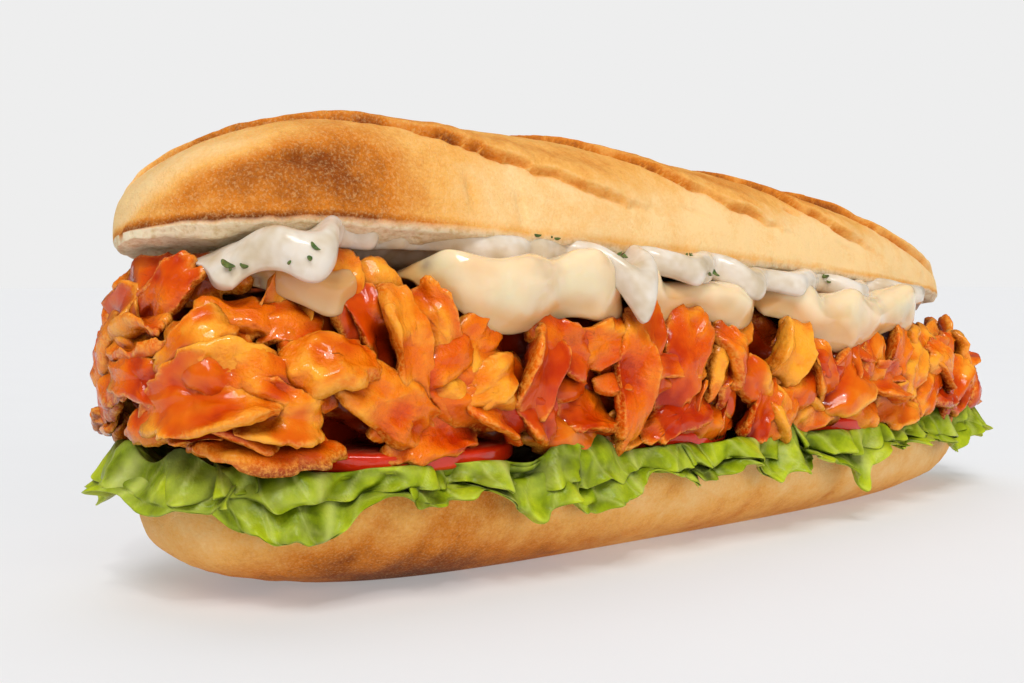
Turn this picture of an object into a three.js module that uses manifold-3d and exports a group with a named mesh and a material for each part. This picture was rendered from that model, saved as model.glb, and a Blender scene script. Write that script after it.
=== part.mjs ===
// A footlong submarine sandwich: a split loaf filled with lettuce, tomato, sauced chicken,
// melted cheese and a white herb sauce. Millimetres, +Z up, +X along the loaf, the shown side faces -Y.
// The origin is on the surface the loaf rests on. The filling is highest at the -X end.
import * as THREE from "three";
import { mergeVertices } from "three/addons/utils/BufferGeometryUtils.js";
import Module from "manifold-3d";

// Driving dimensions
const HALF_LENGTH = 150; // of the loaf, apart from small end allowances below
const HEIGHT_LOSS = 0.22; // the right end is this much lower than the left
const WIDTH_LOSS = 0.14; // and this much narrower
// each loaf half: half length, middle, half width, height, how square its two ends are, and their roundness
const BOTTOM = { half: 152.6, centre: 4.2, width: 40, height: 25.4, endLeft: 4.6, endRight: 2, power: 2.03 };
const TOP = { half: 149.5, centre: -3.2, width: 39, height: 33.8, endLeft: 4.6, endRight: 1.9, power: 1.92 };
const CUT_HEIGHT = 79.8; // underside of the lid at the left end, on the centreline
const OPENING_ANGLE = 0.16; // radians by which the lid is propped open at the front
const FOOT_SINK = 1.8; // how far the round underside is flattened where it rests
// the flat spot it stands on, and how far the rest of the underside is clear of the table
const FLAT_SPOT = { length: 200, width: 26, thick: 1.2, clear: 0.6 };
// how the dome's and the underside's heights fall at the ends, and how square their sections are
const DOME = { endLeft: 4.57, endRight: 1.9, power: 2.15, section: 0.6 };
const UNDERSIDE = { endLeft: 4.6, endRight: 5, power: 3.2, section: 0.84 };
// the filling: half length, half width, lowest and highest level, its ends and how square its section is
const MOUND = {
  half: 158,
  width: 42.5,
  low: 29.6,
  high: 70.5,
  endLeft: 4.4,
  endRight: 2.6,
  power: 2,
  section: 3.2,
};
const CHEESE_THICK = 2.2;
const SAUCE_THICK = 2.4;
const LEAF_THICK = 1;
const LEAF_UNDER = 17; // how far a leaf reaches in under the filling
const TOMATO = { radius: 35, thick: 5.4 };
const CLEAR = 0.4; // gap left between touching pieces
const CLEAR_SHEET = 1; // and round the draped sheets, whose few faces stray from the true curve

// Shared shape rules
const along = (x) => (x + HALF_LENGTH) / (2 * HALF_LENGTH);
const lower = (x) => 1 - HEIGHT_LOSS * along(x);
const narrower = (x) => 1 - WIDTH_LOSS * along(x);
const endShape = (s, left, right, power) =>
  Math.pow(Math.max(1 - Math.pow(Math.abs(s), s < 0 ? left : right), 0), 1 / power);
const signedPower = (value, power) => Math.sign(value) * Math.pow(Math.abs(value), power);
const bump = (x, centre, width) => Math.exp(-(((x - centre) / width) ** 2));
const blend = (value, low, high) => {
  const t = Math.min(Math.max((value - low) / (high - low), 0), 1);
  return t * t * (3 - 2 * t);
};
const breadEnd = (bread, s) => endShape(s, bread.endLeft, bread.endRight, bread.power);
const breadHalfWidth = (bread, x) =>
  bread.width * narrower(x) * breadEnd(bread, (x - bread.centre) / bread.half);
const moundHalfWidth = (x) =>
  MOUND.width * narrower(x) * endShape(x / MOUND.half, MOUND.endLeft, MOUND.endRight, MOUND.power);

// A small seeded generator, so that every build is the same
function randomFrom(seed) {
  let state = seed >>> 0;
  return () => {
    state = (Math.imul(state, 1664525) + 1013904223) >>> 0;
    return state / 4294967296;
  };
}

// Geometry helpers. shapeEach joins a geometry's corners and then moves each of them by a rule
function shapeEach(geometry, rule) {
  const bare = new THREE.BufferGeometry().setIndex(geometry.index);
  bare.setAttribute("position", geometry.getAttribute("position"));
  const joined = mergeVertices(bare, 1e-3);
  const corners = joined.index.array;
  const faces = [];
  for (let i = 0; i < corners.length; i += 3) {
    const [a, b, c] = [corners[i], corners[i + 1], corners[i + 2]];
    if (a !== b && b !== c && c !== a) faces.push(a, b, c);
  }
  joined.setIndex(faces);
  const position = joined.getAttribute("position");
  const point = new THREE.Vector3();
  for (let i = 0; i < position.count; i++) {
    point.fromBufferAttribute(position, i);
    rule(point);
    position.setXYZ(i, point.x, point.y, point.z);
  }
  return joined;
}

const wasm = await Module();
wasm.setup();

function solidFrom(geometry) {
  return new wasm.Manifold(
    new wasm.Mesh({
      numProp: 3,
      vertProperties: new Float32Array(geometry.getAttribute("position").array),
      triVerts: new Uint32Array(geometry.index.array),
    }),
  );
}

function largestOf(solid) {
  return solid.decompose().reduce((best, each) => (each.volume() > best.volume() ? each : best));
}

function geometryFrom(solid) {
  const mesh = solid.getMesh();
  const flat = new Float32Array(mesh.numVert * 3);
  for (let i = 0; i < mesh.numVert; i++) {
    flat.set(mesh.vertProperties.subarray(i * mesh.numProp, i * mesh.numProp + 3), i * 3);
  }
  const geometry = new THREE.BufferGeometry();
  geometry.setAttribute("position", new THREE.BufferAttribute(flat, 3));
  geometry.setIndex(new THREE.BufferAttribute(new Uint32Array(mesh.triVerts), 1));
  return geometry;
}

// A loaf half: a sphere with its poles at the loaf's ends. sectionRule places a point of the section
// from its share along the loaf and its angle, where 0 to pi is crust and pi to 2 pi is the cut face.
function loafHalf(lengthSteps, crustSteps, cutSteps, sectionRule) {
  const around = crustSteps + cutSteps;
  return shapeEach(new THREE.SphereGeometry(1, around, lengthSteps), (p) => {
    const s = -p.y;
    const turn = (Math.atan2(p.z, -p.x) + 2 * Math.PI) % (2 * Math.PI);
    const step = Math.round((turn / (2 * Math.PI)) * around) % around;
    const crust = step <= crustSteps;
    const share = crust ? step / crustSteps : (step - crustSteps) / cutSteps;
    sectionRule(p, s, crust, share);
  });
}

// Slashes on the lid: each runs from the crest on the left down to the front on the right, as a step that
// is higher on the crest's side. Its place is where it starts on the crest, and fall how fast it comes down.
const SLASHES = [
  { place: -110, fall: 0.0037 },
  { place: -28, fall: 0.0055 },
  { place: 30, fall: 0.004 },
  { place: 95, fall: 0.005 },
];
const SLASH = { crest: 0.35, girth: 110, step: 2, groove: 0.8 };
function slashRelief(x, share) {
  // share is 0 at the front edge and 1 at the back edge of the crust
  return SLASHES.reduce((sum, { place, fall }) => {
    const line = SLASH.crest - fall * (x - place);
    const inside = blend(line, 0.05, 0.14) * (1 - blend(line, 0.6, 0.75));
    const offset = (share - line) * SLASH.girth;
    const step = blend(offset, -1, 1) * (1 - blend(offset, 4, 16));
    return sum + inside * (SLASH.step * step - SLASH.groove * bump(offset, -1.5, 1.2));
  }, 0);
}

function lidGeometry() {
  const lift = Math.cos(OPENING_ANGLE);
  const lean = Math.sin(OPENING_ANGLE);
  return loafHalf(44, 15, 3, (p, s, crust, share) => {
    const x = TOP.centre + TOP.half * s;
    const width = TOP.width * narrower(x) * breadEnd(TOP, s);
    const dome = TOP.height * breadEnd(DOME, s);
    const angle = Math.PI * share;
    const y = crust ? -width * signedPower(Math.cos(angle), DOME.section) : width * (1 - 2 * share);
    let z = crust ? dome * Math.pow(Math.sin(angle), DOME.section) : 0;
    if (crust && width > 5) z += slashRelief(x, share) * blend(z, 8, 20);
    const tiltedY = y * lift + z * lean;
    const tiltedZ = -y * lean + z * lift;
    p.set(x, tiltedY, (tiltedZ + CUT_HEIGHT + 1.2 * s * s) * lower(x));
  });
}

// Creases on the lower loaf's side, by place along the loaf and lean
const CREASES = [
  [-112, 5],
  [-96, 4],
  [-20, -3],
  [16, 4],
  [58, 3],
];
const CREASE = { depth: 1.1, width: 4.2 };
function creaseRelief(x, z) {
  return CREASES.reduce((sum, [place, lean]) => sum + bump(x - lean * (z / 12 - 1), place, CREASE.width), 0);
}

function heelGeometry() {
  return loafHalf(32, 12, 3, (p, s, crust, share) => {
    const x = BOTTOM.centre + BOTTOM.half * s;
    const width = BOTTOM.width * narrower(x) * breadEnd(BOTTOM, s);
    const depth = (BOTTOM.height + FOOT_SINK) * breadEnd(UNDERSIDE, s);
    const angle = Math.PI * share;
    // the crust goes under the loaf from the back edge to the front, so that faces point outwards
    const across = crust ? signedPower(Math.cos(angle), UNDERSIDE.section) : 2 * share - 1;
    const y = width * across;
    const z = crust ? BOTTOM.height - depth * Math.pow(Math.sin(angle), UNDERSIDE.section) : BOTTOM.height;
    const fading = crust ? blend(BOTTOM.height - z, 2, 8) * blend(z, 2, 6) : 0;
    const dent = CREASE.depth * creaseRelief(x, z) * fading;
    const dentedY = y - Math.sign(y) * Math.min(dent, Math.abs(y) * 0.2);
    p.set(x, dentedY, Math.max(z * lower(x), FLAT_SPOT.clear));
  });
}

// The filling's outer form at a place along the loaf. angle 0 is its front, 90 degrees its top
function moundPoint(x, angle, out) {
  const middle = (MOUND.low + MOUND.high) / 2;
  const reach = (MOUND.high - MOUND.low) / 2 + out;
  const y = -(moundHalfWidth(x) + out) * signedPower(Math.cos(angle), 2 / MOUND.section);
  const z = middle + reach * signedPower(Math.sin(angle), 2 / MOUND.section);
  const rise = Math.max((z - MOUND.low) / (MOUND.high - MOUND.low), 0);
  return { y, z: (z - OPENING_ANGLE * y * rise) * lower(x) };
}

// A sheet draped over the filling from a front hem to a back hem. hem(x) is how far up the upper half
// of the filling the hem ends: 0 at half height, 1 on top. outward(x, v) lifts the sheet off the filling.
function drapeGeometry({ from, to, steps, across, thick, hem, outward, grow = 0 }) {
  const box = new THREE.BoxGeometry(1, 1, 1, steps, across, 1);
  return shapeEach(box, (p) => {
    const v = 2 * p.y; // -1 on the front hem, 1 on the back hem
    const edge = Math.abs(2 * p.x);
    const round = 3.2 * Math.pow(Math.abs(v), 4);
    let x = THREE.MathUtils.lerp(from - grow, to + grow, p.x + 0.5);
    x += (p.x < 0 ? 1 : -1) * round * edge * edge;
    const side = v < 0 ? -1 : 1;
    const hemShare = Math.min(Math.max(hem(x, side) - grow * 0.045, -0.2), 0.995);
    const hemAngle = Math.asin(signedPower(hemShare, MOUND.section / 2));
    const angle = Math.PI / 2 + v * (Math.PI / 2 - hemAngle);
    const half = thick / 2 + grow;
    const out = outward(x, v) + (p.z > 0 ? half : -half);
    const at = moundPoint(x, angle, out);
    p.set(x, at.y, at.z);
  });
}

// Cheese slices, from left to right: ends along the loaf, hem shares at the front and the back
const CHEESE = [
  { from: -139, to: -101.5, front: 0.66, back: 0.5, folds: 2.1, phase: 0.4 },
  { from: -100, to: -38.5, front: 0.4, back: 0.55, folds: 2.6, phase: 2.2 },
  { from: -37, to: 13, front: 0.56, back: 0.42, folds: 2.2, phase: 3.9 },
  { from: 14.5, to: 92, front: 0.34, back: 0.5, folds: 3.1, phase: 1.2 },
];
function cheeseGeometry(slice, grow) {
  const span = slice.to - slice.from;
  return drapeGeometry({
    from: slice.from,
    to: slice.to,
    steps: 6,
    across: 10,
    thick: CHEESE_THICK,
    grow,
    hem: (x, side) => {
      const share = (x - slice.from) / span;
      const lobe = 0.34 * Math.pow(2 * share - 1, 2) + 0.1 * Math.sin(share * 9 + slice.phase);
      return (side < 0 ? slice.front : slice.back) + lobe;
    },
    outward: (x, v) => {
      const share = (x - slice.from) / span;
      const wave = 0.5 + 0.5 * Math.sin(share * Math.PI * slice.folds + slice.phase + v);
      return 1.3 + 1.9 * wave * blend(Math.abs(v), 0.35, 0.8);
    },
  });
}

// White sauce: a layer under the lid with drips that run down over the cheese
const DRIPS = [
  // place along the loaf, half width, how far down, side (-1 front, 1 back)
  [-143, 6, 0.24, -1],
  [-130, 7, 0.36, -1],
  [-70, 14, 0.1, -1],
  [-44, 6.5, 0.56, -1],
  [-19, 9, 0.2, -1],
  [3, 5, 0.34, -1],
  [28, 11, 0.16, -1],
  [57, 8, 0.12, -1],
  [-118, 7, 0.36, 1],
  [-76, 10, 0.22, 1],
  [-30, 6, 0.5, 1],
  [12, 9, 0.2, 1],
  [66, 7, 0.32, 1],
];
const SAUCE_TOP = 0.94; // share of the filling's height at which the sauce ends between its drips
function sauceGeometry(grow) {
  return drapeGeometry({
    from: -147,
    to: 116,
    steps: 32,
    across: 6,
    thick: SAUCE_THICK,
    grow,
    hem: (x, side) =>
      DRIPS.filter(([, , , on]) => on === side).reduce(
        (share, [place, width, down]) => share - down * bump(x, place, width),
        SAUCE_TOP,
      ),
    outward: (x, v) => 6 + 1.5 * blend(Math.abs(v), 0.4, 0.9),
  });
}

// Herb flecks stuck to the sauce, by place along the loaf, share of the filling's height and side
const FLECKS = [
  [-129, 0.68, -1],
  [-141.5, 0.78, -1],
  [-66, 0.9, -1],
  [-60, 0.9, -1],
  [-47, 0.78, -1],
  [-42, 0.86, -1],
  [-18, 0.86, -1],
  [-12, 0.76, -1],
  [47, 0.9, -1],
  [-30, 0.6, 1],
  [-77, 0.82, 1],
  [64, 0.74, 1],
];
const FLECK = { size: 1.3, out: 8.6 };
function fleckGeometries() {
  return FLECKS.map(([x, share, side]) => {
    const angle = Math.asin(Math.pow(share, MOUND.section / 2));
    const at = moundPoint(x, side < 0 ? angle : Math.PI - angle, FLECK.out);
    return shapeEach(new THREE.OctahedronGeometry(FLECK.size), (p) => p.set(x + p.x, at.y + p.y, at.z + p.z));
  });
}

// An outline seen from above. The function that comes back gives the place and outward normal t mm round
// it from the middle of the front, so that t is close to x along the front.
const OUTLINE_STEPS = 720;
function outlineOf(halfWidth, left, right) {
  const middle = (left + right) / 2;
  const reach = ((right - left) / 2) * 0.99999;
  const points = [];
  for (let i = 0; i <= OUTLINE_STEPS; i++) {
    const turn = (2 * Math.PI * i) / OUTLINE_STEPS;
    const x = middle + reach * Math.sin(turn);
    points.push(new THREE.Vector2(x, Math.cos(turn) < 0 ? halfWidth(x) : -halfWidth(x)));
  }
  const lengths = [0];
  for (let i = 1; i < points.length; i++) {
    lengths.push(lengths[i - 1] + points[i].distanceTo(points[i - 1]));
  }
  const total = lengths[OUTLINE_STEPS];
  const start = middle > 0 ? total - middle : 0;
  const at = (t) => {
    const wanted = ((t + start) % total + total) % total;
    let low = 0;
    let high = lengths.length - 1;
    while (high - low > 1) {
      const mid = (low + high) >> 1;
      if (lengths[mid] <= wanted) low = mid;
      else high = mid;
    }
    const share = (wanted - lengths[low]) / (lengths[high] - lengths[low] || 1);
    return points[low].clone().lerp(points[high], share);
  };
  return (t) => {
    const place = at(t);
    const ahead = at(t + 5).sub(at(t - 5)).normalize();
    return { place, normal: new THREE.Vector2(ahead.y, -ahead.x), total };
  };
}

const heelRim = outlineOf(
  (x) => breadHalfWidth(BOTTOM, x),
  BOTTOM.centre - BOTTOM.half,
  BOTTOM.centre + BOTTOM.half,
);
const moundRim = outlineOf(moundHalfWidth, -MOUND.half, MOUND.half);
const HALF_ROUND = heelRim(0).total / 2;

// Tomato slices under the chicken, by place along the loaf and across it
const TOMATOES = [
  [-93, -5.5],
  [-17, -6],
  [55, -4.5],
];
function nearTomato(place) {
  const distances = TOMATOES.map(([x, y]) => Math.hypot(place.x - x, place.y - y));
  return 1 - blend(Math.min(...distances), TOMATO.radius + 3, TOMATO.radius + 12);
}

// Each leaf: where it starts and ends round the rim, how far its hem drops, its ruffles and their phase
const LEAVES = [
  { from: -185, to: -141, drop: 8, ruffles: 3, phase: 0.3 },
  { from: -140, to: -103, drop: 17, ruffles: 2, phase: 3.6 },
  { from: -102, to: -60, drop: 12, ruffles: 2.4, phase: 1.4 },
  { from: -59, to: -21, drop: 15, ruffles: 2, phase: 4.2 },
  { from: -20, to: 27, drop: 9, ruffles: 2.6, phase: 0.8 },
  { from: 28, to: 78, drop: 12, ruffles: 2.6, phase: 2.6 },
  { from: 79, to: 146, drop: 7, ruffles: 3, phase: 5.1 },
];
function leafGeometry(leaf, turn, grow = 0) {
  const box = new THREE.BoxGeometry(1, 1, 1, 7, 4, 1);
  return shapeEach(box, (p) => {
    const u = 0.5 - p.x; // runs against the rim, so that faces point outwards
    const v = p.y + 0.5; // 0 on the inner edge, 1 on the hem
    const t = THREE.MathUtils.lerp(leaf.from - grow, leaf.to + grow, u) + turn;
    const { place, normal } = heelRim(t);
    const wave = 0.5 + 0.5 * Math.sin(leaf.ruffles * 2 * Math.PI * u + leaf.phase);
    const lobe = 0.55 + 0.45 * Math.sin(leaf.ruffles * Math.PI * u + leaf.phase * 1.7);
    const spill = blend(v, 0.42, 1);
    const out = 2 - LEAF_UNDER * Math.max(1 - 2 * v, 0) + spill * (3.5 + 5 * wave);
    const shorter = Math.pow(Math.sin(Math.PI * (0.1 + 0.8 * u)), 0.4);
    const fall = leaf.drop * lobe * spill * (1 - 0.35 * wave) * shorter;
    const half = LEAF_THICK / 2 + grow;
    const arch = bump(v, 0.5, 0.2) * (1.5 + 4 * wave) * (1 - 0.95 * nearTomato(place));
    const bed = BOTTOM.height * lower(place.x) + 1 + LEAF_THICK / 2 + 0.7 * wave * (1 - spill) + arch;
    const tipped = blend(v, 0.5, 0.9) * 0.8;
    const push = p.z > 0 ? half : -half;
    const reach = out + push * Math.sin(tipped * 1.4);
    p.set(
      place.x + normal.x * reach,
      place.y + normal.y * reach,
      bed - fall + push * Math.cos(tipped * 1.4),
    );
  });
}

function tomatoGeometry([x, y], grow = 0) {
  const radius = TOMATO.radius * (0.8 + 0.2 * narrower(x) * lower(x)) + grow;
  const half = TOMATO.thick / 2 + grow;
  const profile = [
    [0, -half],
    [radius - 3, -half],
    [radius, -half * 0.35],
    [radius, half * 0.35],
    [radius - 3, half],
    [0, half],
  ];
  const lathe = new THREE.LatheGeometry(profile.map(([r, z]) => new THREE.Vector2(r, z)), 18);
  const bed = BOTTOM.height * lower(x) + 4.4 + TOMATO.thick / 2;
  const slope = (BOTTOM.height * (lower(x + 1) - lower(x - 1))) / 2;
  return shapeEach(lathe, (p) => p.set(x + p.x, y - p.z, bed + p.y + slope * p.x));
}

// Chicken: a core with bent, torn slices fused on. Each row is a slice's place round the filling, height
// (at the left end's scale), how far out it stands, length, width, thickness, roll, how flat it lies and bend
const SLICES = [
  [-173, 69, 0.5, 22, 9, 4.5, 20, 40, 40],
  [-163, 67, 4, 25, 9, 5, 42, 5, 30],
  [-171, 60, 0, 20, 9, 3.4, 8, 80, 20],
  [-168, 55.5, 0, 20, 9, 3.4, 4, 78, -15],
  [-153, 72, 1, 18, 10, 5.5, 5, 20, 30],
  [-142, 64.5, 5, 18, 9, 5.5, -6, 30, 40],
  [-147, 55, 6, 24, 15, 7, -18, 15, 70],
  [-130, 68, 4, 19, 10, 5, 74, 0, 55],
  [-119, 67, 3, 18, 8, 5, 66, 0, 60],
  [-112, 65, 4, 17, 8, 5, -62, 0, 60],
  [-124, 55.5, 7, 24, 12, 6, 8, 35, 35],
  [-111, 47, 4, 28, 13, 6, -35, 5, 40],
  [-105, 59, 3, 26, 8, 5, -72, 5, 30],
  [-150, 47, 6, 38, 17, 6.5, 8, 20, 45],
  [-134, 44, 5, 18, 11, 6, -15, 10, 40],
  [-137, 37.5, 6, 32, 13, 4, 0, 70, 15],
  [-175, 49, 1, 20, 9, 3.6, 20, 65, 25],
  [-88, 49.5, 4, 34, 18, 5, -12, 0, 60],
  [-71, 43, 6, 15, 9, 4.5, -60, 0, 30],
  [-53, 41, 1, 20, 11, 4, -8, 50, 25],
  [-42, 51, 5, 32, 8.5, 5, 84, 0, 30],
  [-23, 56, 4, 27, 12, 6, 70, 10, 45],
  [-23, 40, 5, 28, 9, 5, 18, 25, 25],
  [-7, 54, 3, 19, 9, 5, 78, 0, 35],
  [5, 50, 4, 20, 9, 5, -48, 0, 40],
  [20, 59, 3, 16, 10, 6, 60, 0, 70],
  [27, 48, 4, 21, 10, 5, 30, 15, 35],
  [47, 50, 4, 27, 14, 6, 24, 5, 50],
  [69, 47, 3, 18, 10, 5.5, -25, 20, 35],
  [9, 40.5, 3, 18, 8, 5, 55, 10, 25],
  [86, 52, 3, 20, 11, 5, 35, 10, 40],
  [-96, 38, 3, 22, 10, 5, 12, 20, 20],
  [-60, 37, 3, 22, 10, 5, -14, 15, 30],
  [-38, 37, 2, 18, 9, 5, 20, 20, 20],
  [-10, 38, 3, 20, 10, 5, -10, 15, 30],
  [34, 39, 4, 24, 10, 5, 12, 10, 30],
  [58, 40, 4, 24, 11, 5.5, -20, 15, 35],
  [79, 40, 4, 24, 11, 5, 14, 10, 40],
  [62, 56, 2, 16, 10, 5, 60, 0, 40],
  [96, 45, 4, 22, 11, 5, 40, 10, 40],
  [118, 40, 4, 22, 10, 5, -12, 20, 30],
  [133, 43, 4, 22, 11, 5, 18, 25, 30],
  [144, 48, 4, 22, 11, 5, -20, 30, 30],
  [151, 41, 4, 22, 12, 4.5, 8, 50, 25],
  [160, 45, 4, 22, 12, 5, -14, 40, 25],
  [168, 41, 4, 20, 12, 4.5, 12, 50, 25],
  [103, 57, 4, 15, 10, 6, 10, 20, 30],
  [106, 43, 5, 24, 12, 4.5, -12, 50, 25],
  [124, 49, 3, 18, 10, 5, 40, 20, 30],
  [-187, 65, 0, 17, 9, 5, 30, 20, 30],
  [-197, 55, 0.5, 18, 10, 5, -20, 20, 30],
  [-189, 45, 0, 16, 9, 5, 15, 30, 20],
  [-204, 42, 0, 16, 9, 4.5, 0, 30, 20],
  [-208, 65, 1, 18, 9, 5, 60, 10, 40],
];
// the back's other roll in degrees, the shortest slice that it repeats, and which part of the front it repeats
const BACK = { jitter: 26, least: 20, from: -140, to: 160 };
const SLICE_ROOT = 1.2; // how far a slice's middle is sunk in the heap
const CORE = { inset: 2.8, knobs: 2, shorter: 7 };

// A torn slice: a flattened, bent, uneven ball that keeps few sides
function sliceGeometry(length, width, thick, bend, random) {
  const arc = THREE.MathUtils.degToRad(bend || 1);
  return shapeEach(new THREE.SphereGeometry(1, length > 30 ? 9 : 7, 3), (p) => {
    const uneven = 0.82 + 0.36 * random();
    const l = (signedPower(p.x, 0.7) * length * uneven) / 2;
    const w = (signedPower(-p.z, 0.7) * width * uneven) / 2;
    const t = (signedPower(p.y, 0.8) * thick) / 2;
    const radius = length / arc;
    const turn = l / radius;
    p.set((radius + t) * Math.sin(turn), w, (radius + t) * Math.cos(turn) - radius);
  });
}

const FULLER = { length: 1.06, width: 1.12, thick: 1.15 }; // as a faceted slice is thinner than a round one
function placedSlice([t, height, out, length, width, thick, roll, lie, bend], random) {
  const { place, normal } = moundRim(t);
  const geometry = sliceGeometry(
    length * FULLER.length,
    width * FULLER.width,
    thick * FULLER.thick,
    bend,
    random,
  );
  const outward = new THREE.Vector3(normal.x, normal.y, 0);
  const up = new THREE.Vector3(0, 0, 1);
  const sideways = new THREE.Vector3().crossVectors(up, outward);
  const basis = new THREE.Matrix4().makeBasis(sideways, up, outward);
  const rollTurn = new THREE.Matrix4().makeRotationZ(THREE.MathUtils.degToRad(roll));
  const lieTurn = new THREE.Matrix4().makeRotationX(-THREE.MathUtils.degToRad(lie));
  const rise = (2 * height - MOUND.high - MOUND.low) / (MOUND.high - MOUND.low);
  const section = Math.pow(Math.max(1 - Math.pow(Math.abs(rise), MOUND.section), 0.4), 1 / MOUND.section);
  const reach = 0.55 * out - SLICE_ROOT - (1 - section) * MOUND.width;
  const centre = new THREE.Vector3(
    place.x + normal.x * reach,
    place.y + normal.y * reach,
    height * lower(place.x),
  );
  const matrix = new THREE.Matrix4().makeTranslation(centre.x, centre.y, centre.z);
  matrix.multiply(basis).multiply(rollTurn).multiply(lieTurn);
  return geometry.applyMatrix4(matrix);
}

function chickenCore() {
  return shapeEach(new THREE.SphereGeometry(1, 14, 14), (p) => {
    const s = -p.y;
    const x = s * (MOUND.half - CORE.shorter);
    const angle = Math.atan2(p.z, -p.x);
    const knob = Math.sin(x * 0.33 + 2 * angle) * Math.sin(angle * 7 + x * 0.11);
    const at = moundPoint(x, angle, CORE.knobs * knob - CORE.inset);
    const middle = ((MOUND.low + MOUND.high) / 2) * lower(x);
    const closing = Math.pow(Math.max(1 - Math.pow(Math.abs(s), 8), 0), 0.5);
    p.set(x, at.y * closing, middle + (at.z - middle) * closing);
  });
}

const bread = new THREE.MeshStandardMaterial({ color: 0xd9923f, roughness: 0.75, metalness: 0 });
const lettuceGreen = new THREE.MeshStandardMaterial({ color: 0x8fbf2e, roughness: 0.45, metalness: 0 });
const tomatoRed = new THREE.MeshStandardMaterial({ color: 0xcf2c16, roughness: 0.25, metalness: 0 });
const sauced = new THREE.MeshStandardMaterial({ color: 0xee6a10, roughness: 0.3, metalness: 0 });
const cheesePale = new THREE.MeshStandardMaterial({ color: 0xecd2a0, roughness: 0.35, metalness: 0 });
const sauceWhite = new THREE.MeshStandardMaterial({ color: 0xf4ece2, roughness: 0.3, metalness: 0 });

const sandwich = new THREE.Group();
function add(name, geometry, material) {
  const mesh = new THREE.Mesh(geometry, material);
  mesh.name = name;
  sandwich.add(mesh);
}

const flatSpot = new THREE.BoxGeometry(FLAT_SPOT.length, FLAT_SPOT.width, FLAT_SPOT.thick);
const spot = shapeEach(flatSpot, (p) => p.set(p.x, p.y, p.z + FLAT_SPOT.thick / 2));
const heel = wasm.Manifold.union([solidFrom(heelGeometry()), solidFrom(spot)]);
const lid = solidFrom(lidGeometry());
const lidGuard = lid.translate([0, 0, -CLEAR]);

const leafShapes = [0, HALF_ROUND].flatMap((turn) => LEAVES.map((leaf) => ({ leaf, turn })));
const leaves = leafShapes.map(({ leaf, turn }) => solidFrom(leafGeometry(leaf, turn)));
const leafGuards = leafShapes.map(({ leaf, turn }) => solidFrom(leafGeometry(leaf, turn, CLEAR)));
const tomatoes = TOMATOES.map((place) => solidFrom(tomatoGeometry(place)));
const tomatoGuards = TOMATOES.map((place) => solidFrom(tomatoGeometry(place, CLEAR)));
const cheeses = CHEESE.map((slice) => solidFrom(cheeseGeometry(slice, 0)).subtract(lidGuard));
const cheeseGuards = CHEESE.map((slice) => solidFrom(cheeseGeometry(slice, CLEAR_SHEET)));
const flecks = fleckGeometries().map(solidFrom);
const sauce = largestOf(
  wasm.Manifold.union([solidFrom(sauceGeometry(0)), ...flecks])
    .subtract(wasm.Manifold.union(cheeseGuards))
    .subtract(lidGuard),
);
const sauceGuard = solidFrom(sauceGeometry(CLEAR_SHEET));

const random = randomFrom(20);
// the back is the front mirrored, with other rolls, and leaves out the slices at the two tips
const atBack = SLICES.filter(([t, , , length]) => t > BACK.from && t < BACK.to && length > BACK.least);
const backRows = atBack.map(([t, height, out, length, width, thick, roll, lie, bend]) => {
  const turned = BACK.jitter * (2 * random() - 1) - roll;
  return [moundRim(0).total / 2 - t, height, out, length, width, thick, turned, lie, bend];
});
const slices = [...SLICES, ...backRows].map((row) => solidFrom(placedSlice(row, random)));
const guards = wasm.Manifold.union([...cheeseGuards, sauceGuard, ...tomatoGuards, ...leafGuards]);
const chicken = largestOf(
  wasm.Manifold.union([solidFrom(chickenCore()), ...slices])
    .subtract(guards)
    .subtract(lidGuard)
    .subtract(heel.translate([0, 0, CLEAR])),
);

add("bread_bottom", geometryFrom(heel), bread);
add("bread_top", geometryFrom(lid), bread);
leaves.forEach((leaf, i) => add(`lettuce_leaf_${i + 1}`, geometryFrom(leaf), lettuceGreen));
tomatoes.forEach((tomato, i) => add(`tomato_slice_${i + 1}`, geometryFrom(tomato), tomatoRed));
add("chicken_filling", geometryFrom(chicken), sauced);
cheeses.forEach((cheese, i) => add(`cheese_slice_${i + 1}`, geometryFrom(largestOf(cheese)), cheesePale));
add("white_sauce", geometryFrom(sauce), sauceWhite);

export default sandwich;
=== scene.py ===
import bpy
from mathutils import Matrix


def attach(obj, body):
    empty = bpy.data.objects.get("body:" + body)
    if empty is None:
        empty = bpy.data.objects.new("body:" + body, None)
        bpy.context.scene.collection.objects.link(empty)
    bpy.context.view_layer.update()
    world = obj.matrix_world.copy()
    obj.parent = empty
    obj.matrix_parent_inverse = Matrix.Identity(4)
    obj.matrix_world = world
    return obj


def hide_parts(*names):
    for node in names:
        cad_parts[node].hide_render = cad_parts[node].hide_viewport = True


bl_info = {
    "name": "Submarine sandwich",
    "version": (1, 0, 0),
    "blender": (4, 5, 0),
    "location": "3D View > Sidebar > Sandwich",
    "description": "Builds a filled submarine sandwich round its packed model",
    "category": "Add Mesh",
}

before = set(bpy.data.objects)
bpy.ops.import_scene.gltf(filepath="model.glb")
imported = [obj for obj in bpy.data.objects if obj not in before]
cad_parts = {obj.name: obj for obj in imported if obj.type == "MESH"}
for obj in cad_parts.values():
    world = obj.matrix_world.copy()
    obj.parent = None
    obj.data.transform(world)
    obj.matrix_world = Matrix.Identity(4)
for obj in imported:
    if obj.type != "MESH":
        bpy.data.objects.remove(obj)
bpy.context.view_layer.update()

import functools
import itertools
import math
import random

import bmesh
import bpy
import numpy as np
from mathutils import Vector

MM = 0.001

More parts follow.
